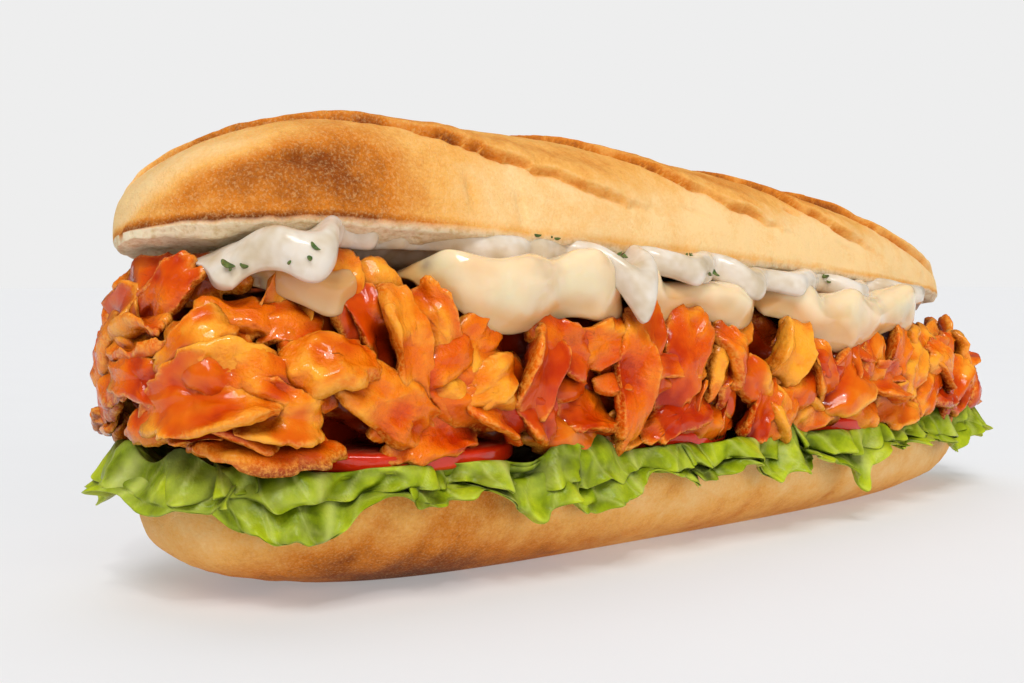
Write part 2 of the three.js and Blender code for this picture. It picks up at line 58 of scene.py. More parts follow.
# The loaf, in millimetres, +X along it, the shown side facing -Y, highest at the -X end
HALF_LENGTH = 150.0
HEIGHT_LOSS = 0.22
WIDTH_LOSS = 0.14
OPENING_ANGLE = 0.16
CUT_HEIGHT = 79.8
FOOT_SINK = 1.8
BOTTOM = dict(half=152.6, centre=4.2, width=40.0, height=25.4, left=4.6, right=2.0, power=2.03)
TOP = dict(half=149.5, centre=-3.2, width=39.0, height=33.8, left=4.6, right=1.9, power=1.92)
MOUND = dict(half=158.0, width=42.5, low=29.6, high=70.5, left=4.4, right=2.6, power=2.0, section=3.2)


# Shared rules of shape, the same as the solids follow
def along(x):
    return (x + HALF_LENGTH) / (2 * HALF_LENGTH)


def lower(x):
    return 1 - HEIGHT_LOSS * along(x)


def narrower(x):
    return 1 - WIDTH_LOSS * along(x)


def end_shape(s, left, right, power):
    fall = np.abs(s) ** np.where(s < 0, left, right)
    return np.maximum(1 - fall, 0) ** (1 / power)


def signed_power(value, power):
    return np.sign(value) * np.abs(value) ** power


def bump(x, centre, width):
    return np.exp(-(((x - centre) / width) ** 2))


def blend(value, low, high):
    t = np.clip((value - low) / (high - low), 0, 1)
    return t * t * (3 - 2 * t)


def bread_half_width(bread, x):
    s = (x - bread["centre"]) / bread["half"]
    return bread["width"] * narrower(x) * end_shape(s, bread["left"], bread["right"], bread["power"])


def mound_half_width(x):
    ends = end_shape(x / MOUND["half"], MOUND["left"], MOUND["right"], MOUND["power"])
    return MOUND["width"] * narrower(x) * ends


def mound_point(x, angle, out):
    """A point on the filling's outer form: angle 0 is its front and 90 degrees its top."""
    middle = (MOUND["low"] + MOUND["high"]) / 2
    reach = (MOUND["high"] - MOUND["low"]) / 2 + out
    y = -(mound_half_width(x) + out) * signed_power(np.cos(angle), 2 / MOUND["section"])
    z = middle + reach * signed_power(np.sin(angle), 2 / MOUND["section"])
    rise = np.maximum((z - MOUND["low"]) / (MOUND["high"] - MOUND["low"]), 0)
    return np.stack([x, y, (z - OPENING_ANGLE * y * rise) * lower(x)], axis=-1)


# Repeatable noise from -1 to 1
LATTICE_SIDE = 64
LATTICE = np.random.default_rng(7).uniform(-1, 1, (LATTICE_SIDE, LATTICE_SIDE, LATTICE_SIDE))
SEED_SHIFT = 17.3


def noise(places, size, seed=0):
    """Smooth noise with features about size millimetres across."""
    scaled = places / size + SEED_SHIFT * seed
    base = np.floor(scaled).astype(int)
    share = scaled - base
    share = share * share * (3 - 2 * share)
    total = np.zeros(len(places))
    for step in itertools.product((0, 1), repeat=3):
        weight = np.prod(np.where(step, share, 1 - share), axis=1)
        corner = (base + step) % LATTICE_SIDE
        total += weight * LATTICE[corner[:, 0], corner[:, 1], corner[:, 2]]
    return total


def layered(places, size, octaves, seed=0):
    return sum(noise(places, size / 2**i, seed + i) * 0.5**i for i in range(octaves))


# Mesh helpers: an operator makes each basic shape, and a rule then moves its corners
def to_mesh(bm, name):
    mesh = bpy.data.meshes.new(name)
    bm.to_mesh(mesh)
    bm.free()
    return mesh


def ball_mesh(name, around, rings, halvings=0):
    """A ball with its poles on Z. Halving every edge makes a fine one faster than many segments do."""
    bm = bmesh.new()
    bmesh.ops.create_uvsphere(bm, u_segments=around, v_segments=rings, radius=1)
    for _ in range(halvings):
        bmesh.ops.subdivide_edges(bm, edges=bm.edges[:], cuts=1, use_grid_fill=True)
    for corner in bm.verts:
        corner.co.normalize()
    return to_mesh(bm, name)


def many_balls(name, count, around, rings):
    """Many like balls in one mesh, one after the other."""
    one = ball_mesh(name, around, rings)
    bm = bmesh.new()
    for _ in range(count):
        bm.from_mesh(one)
    many = to_mesh(bm, name)
    bpy.data.meshes.remove(one)
    return many


SLAB_DEPTH = 0.1


def slab_mesh(name, columns, rows):
    """A thin slab from -0.5 to 0.5 across, with its outer face at z 0 and its inner one below."""
    bm = bmesh.new()
    bmesh.ops.create_grid(bm, x_segments=columns, y_segments=rows, size=0.5)
    bmesh.ops.solidify(bm, geom=bm.faces[:], thickness=SLAB_DEPTH)
    return to_mesh(bm, name)


def slab_side(flat):
    """1 for a corner of the slab's outer face, and -1 for one of its inner face."""
    return np.where(flat[:, 2] > -SLAB_DEPTH / 2, 1, -1)


def corners_of(mesh):
    flat = np.empty(len(mesh.vertices) * 3, dtype=np.float32)
    mesh.vertices.foreach_get("co", flat)
    return flat.reshape(-1, 3).astype(float)


def place_corners(mesh, points):
    mesh.vertices.foreach_set("co", (points * MM).astype(np.float32).ravel())
    mesh.update()


def normals_of(mesh):
    flat = np.empty(len(mesh.vertices) * 3, dtype=np.float32)
    mesh.vertices.foreach_get("normal", flat)
    return flat.reshape(-1, 3).astype(float)


def mark(mesh, name, values):
    """Keeps one number, or one vector, for each corner under that name, for the materials."""
    kind = "FLOAT_VECTOR" if np.ndim(values) == 2 else "FLOAT"
    layer = mesh.attributes.get(name) or mesh.attributes.new(name, kind, "POINT")
    field = "vector" if kind == "FLOAT_VECTOR" else "value"
    layer.data.foreach_set(field, np.asarray(values, dtype=np.float32).ravel())


def face_out(mesh):
    bm = bmesh.new()
    bm.from_mesh(mesh)
    bmesh.ops.recalc_face_normals(bm, faces=bm.faces[:])
    bm.to_mesh(mesh)
    bm.free()


def push_out(mesh, heights):
    """Moves each corner along its normal by a height in millimetres."""
    points = corners_of(mesh) / MM + normals_of(mesh) * heights[:, None]
    place_corners(mesh, points)


def finish_piece(mesh, name, material, slot, *nodes):
    mesh.shade_smooth()
    piece = bpy.data.objects.new(name, mesh)
    bpy.context.scene.collection.objects.link(piece)
    mesh.materials.append(material)
    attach(piece, "root")
    if nodes:
        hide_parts(*nodes)
    return piece


# Material helpers
GAP_SAMPLES = 6


def linear(text):
    """An sRGB hex colour as linear red, green, blue and alpha."""
    parts = [int(text[i : i + 2], 16) / 255 for i in (1, 3, 5)]
    return [p / 12.92 if p <= 0.04045 else ((p + 0.055) / 1.055) ** 2.4 for p in parts] + [1.0]


def add_node(tree, kind, inputs=None, **settings):
    made = tree.nodes.new(kind)
    for name, value in settings.items():
        setattr(made, name, value)
    for name, value in (inputs or {}).items():
        if isinstance(value, bpy.types.NodeSocket):
            tree.links.new(value, made.inputs[name])
        else:
            made.inputs[name].default_value = value
    return made


def new_material(name, **sockets):
    """A Principled material, and its tree, shader and Object coordinates."""
    material = bpy.data.materials.new(name)
    material.use_nodes = True
    tree = material.node_tree
    shader = tree.nodes["Principled BSDF"]
    for socket, value in sockets.items():
        shader.inputs[socket.replace("_", " ")].default_value = value
    coords = add_node(tree, "ShaderNodeTexCoord").outputs["Object"]
    return material, tree, shader, coords


def attribute(tree, name, output="Fac"):
    return add_node(tree, "ShaderNodeAttribute", attribute_name=name).outputs[output]


def noise_at(tree, coords, size_mm, detail=3.0, roughness=0.55):
    """Noise whose features are about size_mm across."""
    inputs = {"Vector": coords, "Scale": 1 / (size_mm * MM), "Detail": detail, "Roughness": roughness}
    return add_node(tree, "ShaderNodeTexNoise", inputs).outputs["Fac"]


def shade(colour):
    """A grey from a number, or a colour from its four parts or its hex value."""
    if isinstance(colour, str):
        return linear(colour)
    return (colour, colour, colour, 1) if isinstance(colour, (int, float)) else tuple(colour)


def ramp(tree, value, stops):
    made = add_node(tree, "ShaderNodeValToRGB", {"Fac": value})
    cells = made.color_ramp.elements
    while len(cells) < len(stops):
        cells.new(0.5)
    for cell, (place, colour) in zip(cells, stops):
        cell.position = place
        cell.color = shade(colour)
    return made.outputs["Color"]


def calc(tree, operation, *values):
    made = add_node(tree, "ShaderNodeMath", operation=operation)
    for socket, value in zip(made.inputs, values):
        if isinstance(value, bpy.types.NodeSocket):
            tree.links.new(value, socket)
        else:
            socket.default_value = value
    return made.outputs[0]


def mix_colour(tree, share, first, second):
    made = add_node(tree, "ShaderNodeMix", data_type="RGBA")
    for index, value in ((0, share), (6, first), (7, second)):
        if isinstance(value, bpy.types.NodeSocket):
            tree.links.new(value, made.inputs[index])
        else:
            made.inputs[index].default_value = shade(value) if index > 0 else value
    return made.outputs[2]


def bump_from(tree, shader, height, depth_mm):
    inputs = {"Height": height, "Distance": depth_mm * MM, "Strength": 1.0}
    made = add_node(tree, "ShaderNodeBump", inputs)
    tree.links.new(made.outputs["Normal"], shader.inputs["Normal"])


def gap_shade(tree, reach_mm, stops):
    """Painted shade: 1 deep between pieces that stand close together, and 0 out in the open."""
    inputs = {"Distance": reach_mm * MM}
    open_share = add_node(tree, "ShaderNodeAmbientOcclusion", inputs, samples=GAP_SAMPLES).outputs["AO"]
    return ramp(tree, open_share, stops)


# Baked crust: an egg-free wheat crust, matt with a faint sheen, pale on its sides and browned on top. Its
# browning mark also carries painted shade in the heel's creases, along the lid's lower rim and under the
# slashes' ears, and darkens the heel towards its bottom.
def crust_material(colours):
    material, tree, shader, coords = new_material(
        "wheat_crust_baked",
        Roughness=0.6,
        Specular_IOR_Level=0.12,
        Subsurface_Weight=0.12,
        Subsurface_Scale=0.003,
    )
    mottle = noise_at(tree, coords, 7, 5, 0.6)
    fine = noise_at(tree, coords, 0.9, 4, 0.75)
    bake_and_shade = calc(tree, "ADD", attribute(tree, "bake_and_shade"), calc(tree, "MULTIPLY_ADD", mottle, 0.5, -0.25))
    bake_and_shade = calc(tree, "ADD", bake_and_shade, calc(tree, "MULTIPLY_ADD", fine, 0.36, -0.18))
    crust = ramp(
        tree,
        bake_and_shade,
        [
            (0.0, colours.crust_pale),
            (0.3, colours.crust_gold),
            (0.55, colours.crust_amber),
            (0.8, colours.crust_brown),
            (1.0, colours.crust_dark),
        ],
    )
    specks = ramp(tree, noise_at(tree, coords, 0.6, 2, 0.6), [(0.48, 0.0), (0.68, 1.0)])
    blister = calc(tree, "MULTIPLY", calc(tree, "MULTIPLY", specks, attribute(tree, "blister")), 0.26)
    crust = mix_colour(tree, blister, crust, colours.crust_pale)
    pores = noise_at(tree, coords, 1.6, 2, 0.6)
    crumb = ramp(tree, pores, [(0.3, colours.crumb_shade), (0.55, colours.crumb)])
    tree.links.new(mix_colour(tree, attribute(tree, "crumb"), crust, crumb), shader.inputs["Base Color"])
    relief = calc(tree, "ADD", calc(tree, "MULTIPLY", fine, 0.6), calc(tree, "MULTIPLY", blister, 0.8))
    relief = calc(tree, "ADD", relief, calc(tree, "MULTIPLY", pores, attribute(tree, "crumb")))
    bump_from(tree, shader, relief, 0.5)
    return material


# Slashes on the lid: where each starts on the crest, and how slowly it comes down to the front.
# Each is a step that is higher on the crest's side, with a torn edge.
SLASHES = ((-112.0, 50.0), (-40.0, 42.0), (20.0, 36.0), (62.0, 66.0))
SLASH = dict(crest=0.36, girth=110.0, step=2.2, groove=1.3)


def slash_relief(x, share):
    """Height of the slashes' steps, nearness to a torn edge, and how far a place is on the raised side."""
    height = np.zeros(len(x))
    torn = np.zeros(len(x))
    raised = np.zeros(len(x))
    for index, (place, slow) in enumerate(SLASHES):
        line = SLASH["crest"] * np.exp((place - x) / slow)
        inside = blend(line, 0.05, 0.1) * (1 - blend(line, 0.6, 0.75))
        here = np.stack([x, np.full(len(x), 7.0 * index), np.zeros(len(x))], axis=1)
        offset = (share - line) * SLASH["girth"] + 1.4 * noise(here, 8, index) + 1.0 * noise(here, 2.2, index)
        strong = inside * (0.75 + 0.4 * noise(here, 11, index + 9))
        step = blend(offset, -0.4, 0.4) * (1 - blend(offset, 3, 13))
        height += strong * (SLASH["step"] * step - SLASH["groove"] * bump(offset, -1.0, 0.9))
        torn = np.maximum(torn, strong * bump(offset, -0.4, 0.9) * (0.7 + 0.5 * noise(here, 4, index + 5)))
        raised = np.maximum(raised, inside * blend(offset, 0, 2) * (1 - blend(offset, 8, 24)))
    return height, np.clip(torn, 0, 1), raised


# Small marks in the lid's crust: short torn dashes and pale upright dents, as place, share of the crust,
# half length along the loaf and across it, and depth
MARKS = (
    (-9.0, 0.07, 5.0, 0.7, 0.8),
    (14.0, 0.13, 4.0, 0.7, 0.8),
    (62.0, 0.05, 6.0, 0.8, 0.8),
    (36.0, 0.15, 2.5, 1.2, 1.6),
    (-84.0, 0.055, 1.1, 4.0, 1.2),
    (-70.0, 0.035, 1.0, 2.6, 1.0),
    (-124.0, 0.13, 9.0, 3.0, 2.0),
)


def crust_marks(x, share):
    dents = np.zeros(len(x))
    for place, level, long, wide, depth in MARKS:
        along_it = x - place
        across_it = (share - level) * SLASH["girth"] + 0.25 * along_it
        dents += depth * bump(along_it, 0, long) * bump(across_it, 0, wide)
    return dents


# Share of the way round a half loaf that is crust, the rest being its cut face
CRUST_SHARE = 0.8
CUT_BAKE = 0.3
CRUMB_EDGE = (0.985, 1.0)


def loaf_parts(mesh, crust_share):
    """Each corner's share along the loaf, whether it is crust, and its share of that side."""
    ball = corners_of(mesh)
    turn = np.mod(np.arctan2(ball[:, 1], ball[:, 0]) / (2 * math.pi), 1.0)
    crust = turn <= crust_share
    share = np.where(crust, turn / crust_share, (turn - crust_share) / (1 - crust_share))
    return np.clip(ball[:, 2], -1, 1), crust, share


def rag(x, seed):
    """An uneven torn line along the loaf."""
    places = np.stack([x, np.full(len(x), seed * 3.1), np.zeros(len(x))], axis=1)
    return 0.6 * noise(places, 7, seed) + 0.4 * noise(places, 2.4, seed + 1)


def make_lid(finishes):
    mesh = ball_mesh("bread_top_crust", around=115, rings=190, halvings=1)
    s, crust, share = loaf_parts(mesh, CRUST_SHARE)
    x = TOP["centre"] + TOP["half"] * s
    width = TOP["width"] * narrower(x) * end_shape(s, TOP["left"], TOP["right"], TOP["power"])
    dome = TOP["height"] * end_shape(s, 4.25, 1.9, np.where(s < 0, 1.95, 2.15))
    angle = math.pi * share
    y = np.where(crust, -width * signed_power(np.cos(angle), 0.6), width * (1 - 2 * share))
    z = np.where(crust, dome * np.abs(np.sin(angle)) ** 0.6, 0)
    across = np.abs(y) / np.maximum(width, 1)
    height, torn, raised = slash_relief(x, share)
    on_top = crust * blend(z, 6, 14) * blend(width, 5, 15)
    near_cut = 1 - blend(z, 0, 5)
    y = y * (1 + 0.02 * rag(x, 3) * near_cut)
    z = z + rag(x, 5) * near_cut * blend(across, 0.7, 1.0)
    places = np.stack([x, y, z], axis=1)
    z = z - (~crust) * (1 - blend(across, 0.75, 1.0)) * (2.2 + 1.4 * layered(places, 14, 3, 8))
    lift, lean = math.cos(OPENING_ANGLE), math.sin(OPENING_ANGLE)
    raised_z = -y * lean + z * lift + CUT_HEIGHT + 1.2 * s * s
    points = np.stack([x, y * lift + z * lean, raised_z * lower(x)], axis=1)
    place_corners(mesh, points)
    face_out(mesh)
    lumps = 0.5 * noise(points, 34, 11) + 0.2 * layered(points, 9, 3, 12) + 0.12 * noise(points, 1.8, 13)
    marks = crust_marks(x, share) * crust
    push_out(mesh, crust * (lumps * blend(z, 0, 5) + height * on_top - marks * blend(z, 0, 3)))
    rise = np.clip(z / TOP["height"], 0, 1)
    browned = bump(x + 7 * noise(points, 25, 15), -122, 28) * (0.06 + 0.94 * bump(share, 0.07, 0.13))
    bake_and_shade = 0.02 + 0.33 * blend(rise, 0.35, 0.85) + 0.1 * noise(points, 22, 14)
    # The slashes' torn edges are browned, and their dark line is also painted shadow under each raised ear
    bake_and_shade += 0.16 * raised * on_top + 0.6 * torn * on_top + 0.05 * marks
    bake_and_shade += browned * (0.82 - 0.12 * noise(points, 14, 16))
    # Painted shade: the crust darkens into a strip along the lid's lower rim, where the crumb beneath lies in
    # shade
    bake_and_shade += 0.5 * (1 - blend(z, 0.3, 2.8))
    mark(mesh, "bake_and_shade", np.where(crust, bake_and_shade, CUT_BAKE))
    mark(mesh, "blister", np.where(crust, 0.3 + 0.7 * (1 - blend(x, -110, -60)), 0))
    mark(mesh, "crumb", (~crust) * (1 - blend(across, *CRUMB_EDGE)))
    return finish_piece(mesh, "bread_top_crust", finishes.crust, "crust", "bread_top")


# Soft upright creases in the lower crust: place, and how far each leans
CREASES = ((-112.0, 5.0), (-96.0, 4.0), (-20.0, -3.0), (16.0, 4.0), (58.0, 3.0))


def make_heel(finishes):
    mesh = ball_mesh("bread_bottom_crust", around=110, rings=180, halvings=1)
    s, crust, share = loaf_parts(mesh, CRUST_SHARE)
    x = BOTTOM["centre"] + BOTTOM["half"] * s
    width = BOTTOM["width"] * narrower(x) * end_shape(s, BOTTOM["left"], BOTTOM["right"], BOTTOM["power"])
    depth = (BOTTOM["height"] + FOOT_SINK) * end_shape(s, 4.6, 5.0, 3.2)
    angle = math.pi * share
    y = np.where(crust, width * signed_power(np.cos(angle), 0.84), -width * (1 - 2 * share))
    z = np.where(crust, BOTTOM["height"] - depth * np.abs(np.sin(angle)) ** 0.84, BOTTOM["height"])
    crease = sum(bump(x - lean * (z / 12 - 1), place, 2.6) for place, lean in CREASES)
    crease *= blend(BOTTOM["height"] - z, 2, 8) * blend(z, 2, 7)
    flat = 1 - blend(z, 0.4, 3.0)
    z = np.maximum(z, 0)
    points = np.stack([x, y, z * lower(x)], axis=1)
    place_corners(mesh, points)
    face_out(mesh)
    lumps = 0.5 * noise(points, 30, 21) + 0.3 * layered(points, 8, 3, 22) + 0.07 * noise(points, 1.7, 23)
    push_out(mesh, crust * ((lumps - 0.4) * (1 - flat) * blend(BOTTOM["height"] - z, 0, 4) - 0.45 * crease))
    under = 1 - blend(z, 2, 16)
    browned = bump(x, -92, 42)
    # Darker towards the bottom, and browned at the left end
    bake_and_shade = 0.17 + 0.5 * browned * (0.6 + 0.4 * under) + 0.2 * under + 0.1 * layered(points, 14, 2, 24)
    # Painted shade in the creases
    bake_and_shade += 0.08 * crease
    mark(mesh, "bake_and_shade", np.where(crust, bake_and_shade, CUT_BAKE))
    mark(mesh, "blister", np.where(crust, 0.8, 0))
    mark(mesh, "crumb", (~crust) * (1 - blend(np.abs(y) / np.maximum(width, 1), *CRUMB_EDGE)))
    return finish_piece(mesh, "bread_bottom_crust", finishes.crust, "crust", "bread_bottom")


# Sheets draped over the filling
ROUNDED_CORNER = 3.2
HEM_MOST = 0.995


def drape(mesh, ends, thick, hem, outward):
    """Lays a slab over the filling. Gives back its place along the loaf and its run from hem to hem."""
    flat = corners_of(mesh)
    v = 2 * flat[:, 1]
    edge = np.abs(2 * flat[:, 0])
    x = ends[0] + (ends[1] - ends[0]) * (flat[:, 0] + 0.5)
    x = x - np.sign(flat[:, 0]) * ROUNDED_CORNER * np.abs(v) ** 4 * edge**2
    share = np.clip(hem(x, v < 0), -0.2, HEM_MOST)
    hem_angle = np.arcsin(signed_power(share, MOUND["section"] / 2))
    angle = math.pi / 2 + v * (math.pi / 2 - hem_angle)
    rounded = np.sqrt(np.maximum(1 - np.maximum(np.abs(v), edge) ** 10, 0.02))
    out = outward(x, v) + slab_side(flat) * rounded * thick / 2
    points = mound_point(x, angle, out)
    place_corners(mesh, points)
    return points, x, v


# Cheese slices: their ends, how far down they hang in front and behind, their folds, how far out
# they lie, and their humps as place, share of the run, half width, half height and height
CHEESE = (
    dict(
        ends=(-139, -101.5),
        front=0.66,
        back=0.5,
        folds=2.1,
        phase=0.4,
        lie=0.4,
        humps=((-103, -0.6, 7, 0.3, 4),),
    ),
    dict(
        ends=(-100, -38.5),
        front=0.4,
        back=0.55,
        folds=2.6,
        phase=2.2,
        lie=1.0,
        humps=((-91, -0.75, 6, 0.25, 2), (-77, -0.76, 10, 0.2, 6), (-56, -0.74, 9, 0.2, 5.5)),
    ),
    dict(
        ends=(-37, 13),
        front=0.48,
        back=0.42,
        folds=2.2,
        phase=3.9,
        lie=0.8,
        humps=((-32, -0.6, 5, 0.25, 5), (-6, -0.85, 12, 0.2, 3)),
    ),
    dict(
        ends=(14.5, 92),
        front=0.34,
        back=0.5,
        folds=3.1,
        phase=1.2,
        lie=0.8,
        humps=((26, -0.6, 7, 0.22, 4), (50, -0.66, 8, 0.22, 4), (80, -0.7, 9, 0.25, 5.5)),
    ),
)


def cheese_share(cheese, x):
    start, end = cheese["ends"]
    return (x - start) / (end - start)


def cheese_hem(cheese, x, front):
    share = cheese_share(cheese, x)
    lobe = 0.34 * (2 * share - 1) ** 2 + 0.1 * np.sin(share * 9 + cheese["phase"])
    return np.where(front, cheese["front"], cheese["back"]) + lobe


def cheese_outward(cheese, x, v):
    share = cheese_share(cheese, x)
    wave = 0.5 + 0.5 * np.sin(share * math.pi * cheese["folds"] + cheese["phase"] + v)
    lift = cheese["lie"] * (1.4 + 4.2 * bump(np.abs(v), 0.64, 0.26))
    lift = lift + 1.6 * wave * blend(np.abs(v), 0.35, 0.8) - 2.2 * blend(np.abs(v), 0.82, 1.0)
    lift = lift * (1 - 0.75 * blend(np.abs(2 * share - 1), 0.78, 1.0))
    for place, run, wide, tall, high in cheese["humps"]:
        lift = lift + high * bump(x, place, wide) * (bump(v, run, tall) + 0.7 * bump(v, -run, tall))
    return lift


def make_cheese(finishes, sizes):
    for index, cheese in enumerate(CHEESE):
        name = f"cheese_melt_{index + 1}"
        mesh = slab_mesh(name, columns=90, rows=170)
        hem = functools.partial(cheese_hem, cheese)
        outward = functools.partial(cheese_outward, cheese)
        points, x, v = drape(mesh, cheese["ends"], sizes.cheese_thick / MM, hem, outward)
        face_out(mesh)
        lumps = 0.9 * noise(points, 10, 30 + index) + 0.35 * noise(points, 4.5, 40 + index)
        push_out(mesh, 0.5 * bump(np.abs(v), 0.93, 0.08) + lumps)
        mark(mesh, "thin", blend(np.abs(v), 0.9, 1.0))
        # Painted shade where the cheese lies low between its humps
        mark(mesh, "hollow_shade", 1 - blend(outward(x, v) + 2 * lumps, 0.5, 6.0))
        finish_piece(mesh, name, finishes.cheese, "cheese", f"cheese_slice_{index + 1}")


# Melted cheese: a young cow's cheese gone soft, waxy and slightly see-through
def cheese_material(colours):
    material, tree, shader, coords = new_material(
        "young_cheese_melted",
        Roughness=0.2,
        Specular_IOR_Level=0.5,
        IOR=1.45,
        Subsurface_Weight=0.6,
        Subsurface_Scale=0.004,
        Subsurface_Radius=(1.0, 0.62, 0.32),
        Coat_Weight=0.7,
        Coat_Roughness=0.08,
    )
    cloud = noise_at(tree, coords, 12, 2)
    # Painted shade in the low hollows, mixed with a cloudy tone
    deep = calc(tree, "MULTIPLY", attribute(tree, "hollow_shade"), 0.75)
    deep = calc(tree, "ADD", deep, calc(tree, "MULTIPLY", cloud, 0.6))
    base = ramp(tree, deep, [(0.25, colours.cheese), (0.8, colours.cheese_deep)])
    thin = calc(tree, "MULTIPLY", attribute(tree, "thin"), 0.5)
    tree.links.new(mix_colour(tree, thin, base, colours.cheese_thin), shader.inputs["Base Color"])
    bump_from(tree, shader, noise_at(tree, coords, 3, 2), 0.12)
    return material


# White sauce: place along the loaf, half width, how far down, and which side (-1 the shown one)
DRIPS = (
    (-143, 6, 0.24, -1),
    (-128, 7.5, 0.36, -1),
    (-70, 16, 0.1, -1),
    (-43, 6, 0.56, -1),
    (-19, 10, 0.24, -1),
    (4, 7, 0.3, -1),
    (26, 13, 0.22, -1),
    (57, 9, 0.18, -1),
    (90, 12, 0.14, -1),
    (-118, 7, 0.36, 1),
    (-76, 10, 0.22, 1),
    (-30, 6, 0.5, 1),
    (12, 9, 0.2, 1),
    (66, 7, 0.32, 1),
)
SAUCE_TOP = 0.94
SAUCE_ENDS = (-143.5, 115.0)


def sauce_hem(x, front):
    share = np.full(len(x), SAUCE_TOP)
    for place, wide, down, side in DRIPS:
        share = share - np.where(front == (side < 0), down * bump(x, place, wide), 0)
    return share + 0.02 * noise(np.stack([x, x * 0, x * 0], axis=1), 4, 50)


def sauce_outward(x, v):
    places = np.stack([x, 40 * v, x * 0], axis=1)
    shoulder = 4.4 * bump(np.abs(v), 0.78, 0.3) * (1 - 0.4 * blend(x, -20, 30))
    from_ends = np.minimum(x - SAUCE_ENDS[0], SAUCE_ENDS[1] - x)
    near_end = 1 - blend(from_ends, 0, 12)
    return 6 + shoulder * (1 - near_end) - 3 * near_end + 1.4 * noise(places, 17, 51)


def make_sauce(finishes, sizes):
    mesh = slab_mesh("white_herb_sauce", columns=420, rows=90)
    points, x, v = drape(mesh, SAUCE_ENDS, sizes.sauce_thick / MM, sauce_hem, sauce_outward)
    face_out(mesh)
    rolled = 1.3 * bump(np.abs(v), 0.85, 0.16)
    push_out(mesh, rolled + 0.7 * noise(points, 8, 52) + 0.15 * noise(points, 3, 53))
    finish_piece(mesh, "white_herb_sauce", finishes.white_sauce, "white_sauce", "white_sauce")


# White sauce: mayonnaise and yoghurt, opaque, thick and glossy
def white_sauce_material(colours):
    material, tree, shader, coords = new_material(
        "mayonnaise_spread",
        Roughness=0.22,
        IOR=1.46,
        Subsurface_Weight=0.5,
        Subsurface_Scale=0.002,
        Subsurface_Radius=(1.0, 0.85, 0.65),
        Coat_Weight=0.2,
        Coat_Roughness=0.1,
    )
    cloud = noise_at(tree, coords, 7, 2)
    base = ramp(tree, cloud, [(0.35, colours.white_sauce_deep), (0.6, colours.white_sauce_light)])
    tree.links.new(base, shader.inputs["Base Color"])
    bump_from(tree, shader, noise_at(tree, coords, 1.6, 3), 0.1)
    return material


# The rim of the lower half and of the filling, seen from above
OUTLINE_STEPS = 720


def outline_of(half_width, left, right):
    """Gives a function: the place and outward normal t mm round, where t 0 is the middle of the front."""
    middle = (left + right) / 2
    reach = (right - left) / 2 * 0.99999
    turn = np.linspace(0, 2 * math.pi, OUTLINE_STEPS + 1)
    x = middle + reach * np.sin(turn)
    y = np.where(np.cos(turn) < 0, 1, -1) * half_width(x)
    lengths = np.concatenate([[0], np.cumsum(np.hypot(np.diff(x), np.diff(y)))])
    total = lengths[-1]
    start = total - middle if middle > 0 else 0

    def at(t):
        wanted = np.mod(t + start, total)
        return np.stack([np.interp(wanted, lengths, x), np.interp(wanted, lengths, y)], axis=-1)

    def rim(t):
        ahead = at(t + 5) - at(t - 5)
        ahead /= np.linalg.norm(ahead, axis=-1, keepdims=True)
        return at(t), np.stack([ahead[..., 1], -ahead[..., 0]], axis=-1)

    return rim, total / 2


HEEL_RIM, HEEL_HALF_ROUND = outline_of(
    functools.partial(bread_half_width, BOTTOM),
    BOTTOM["centre"] - BOTTOM["half"],
    BOTTOM["centre"] + BOTTOM["half"],
)
MOUND_RIM, MOUND_HALF_ROUND = outline_of(mound_half_width, -MOUND["half"], MOUND["half"])

# Tomato slices: place along the loaf and across it
TOMATOES = ((-93.0, -5.5), (-17.0, -6.0), (55.0, -4.5))
TOMATO_RADIUS = 35.0


def near_tomato(place):
    distance = np.min([np.hypot(place[:, 0] - x, place[:, 1] - y) for x, y in TOMATOES], axis=0)
    return 1 - blend(distance, TOMATO_RADIUS + 3, TOMATO_RADIUS + 12)


def make_tomatoes(finishes, sizes):
    thick = sizes.tomato_thick / MM
    for index, (x, y) in enumerate(TOMATOES):
        name = f"tomato_slice_cut_{index + 1}"
        mesh = ball_mesh(name, around=150, rings=50)
        ball = corners_of(mesh)
        around = np.arctan2(ball[:, 1], ball[:, 0])
        rise = np.arcsin(np.clip(ball[:, 2], -1, 1))
        radius = TOMATO_RADIUS * (0.8 + 0.2 * narrower(x) * lower(x))
        wobble = 1 + 0.012 * np.sin(around * 5 + index) + 0.008 * np.sin(around * 9 + 2 * index)
        out = radius * wobble * np.cos(rise) ** 0.22
        high = thick / 2 * signed_power(np.sin(rise), 0.35)
        bed = BOTTOM["height"] * lower(x) + 4.4 + thick / 2
        slope = BOTTOM["height"] * (lower(x + 1) - lower(x - 1)) / 2
        across = out * np.cos(around)
        points = np.stack([x + across, y + out * np.sin(around), bed + high + slope * across], axis=1)
        place_corners(mesh, points)
        face_out(mesh)
        push_out(mesh, 0.12 * noise(points, 5, 60 + index) + 0.05 * noise(points, 1.5, 63))
        skin = blend(np.cos(rise) ** 0.22, 0.955, 0.985)
        mark(mesh, "skin", skin)
        finish_piece(mesh, name, finishes.tomato, "tomato", f"tomato_slice_{index + 1}")


# Lettuce round the rim of the lower half
LEAVES = (
    dict(ends=(-185, -141), drop=8, ruffles=3, phase=0.3),
    dict(ends=(-140, -103), drop=15, ruffles=2, phase=3.6),
    dict(ends=(-102, -60), drop=12, ruffles=2.4, phase=1.4),
    dict(ends=(-59, -21), drop=15, ruffles=2, phase=4.2),
    dict(ends=(-20, 27), drop=9, ruffles=2.6, phase=0.8),
    dict(ends=(28, 78), drop=12, ruffles=2.6, phase=2.6),
    dict(ends=(79, 146), drop=7, ruffles=3, phase=5.1),
)
LEAF_UNDER = 17.0
LEAF_ABOVE = 1.5
LEAF_TIP = 1.12
FRILL_LENGTH = 8.5
LEAF_OVERLAP = 2


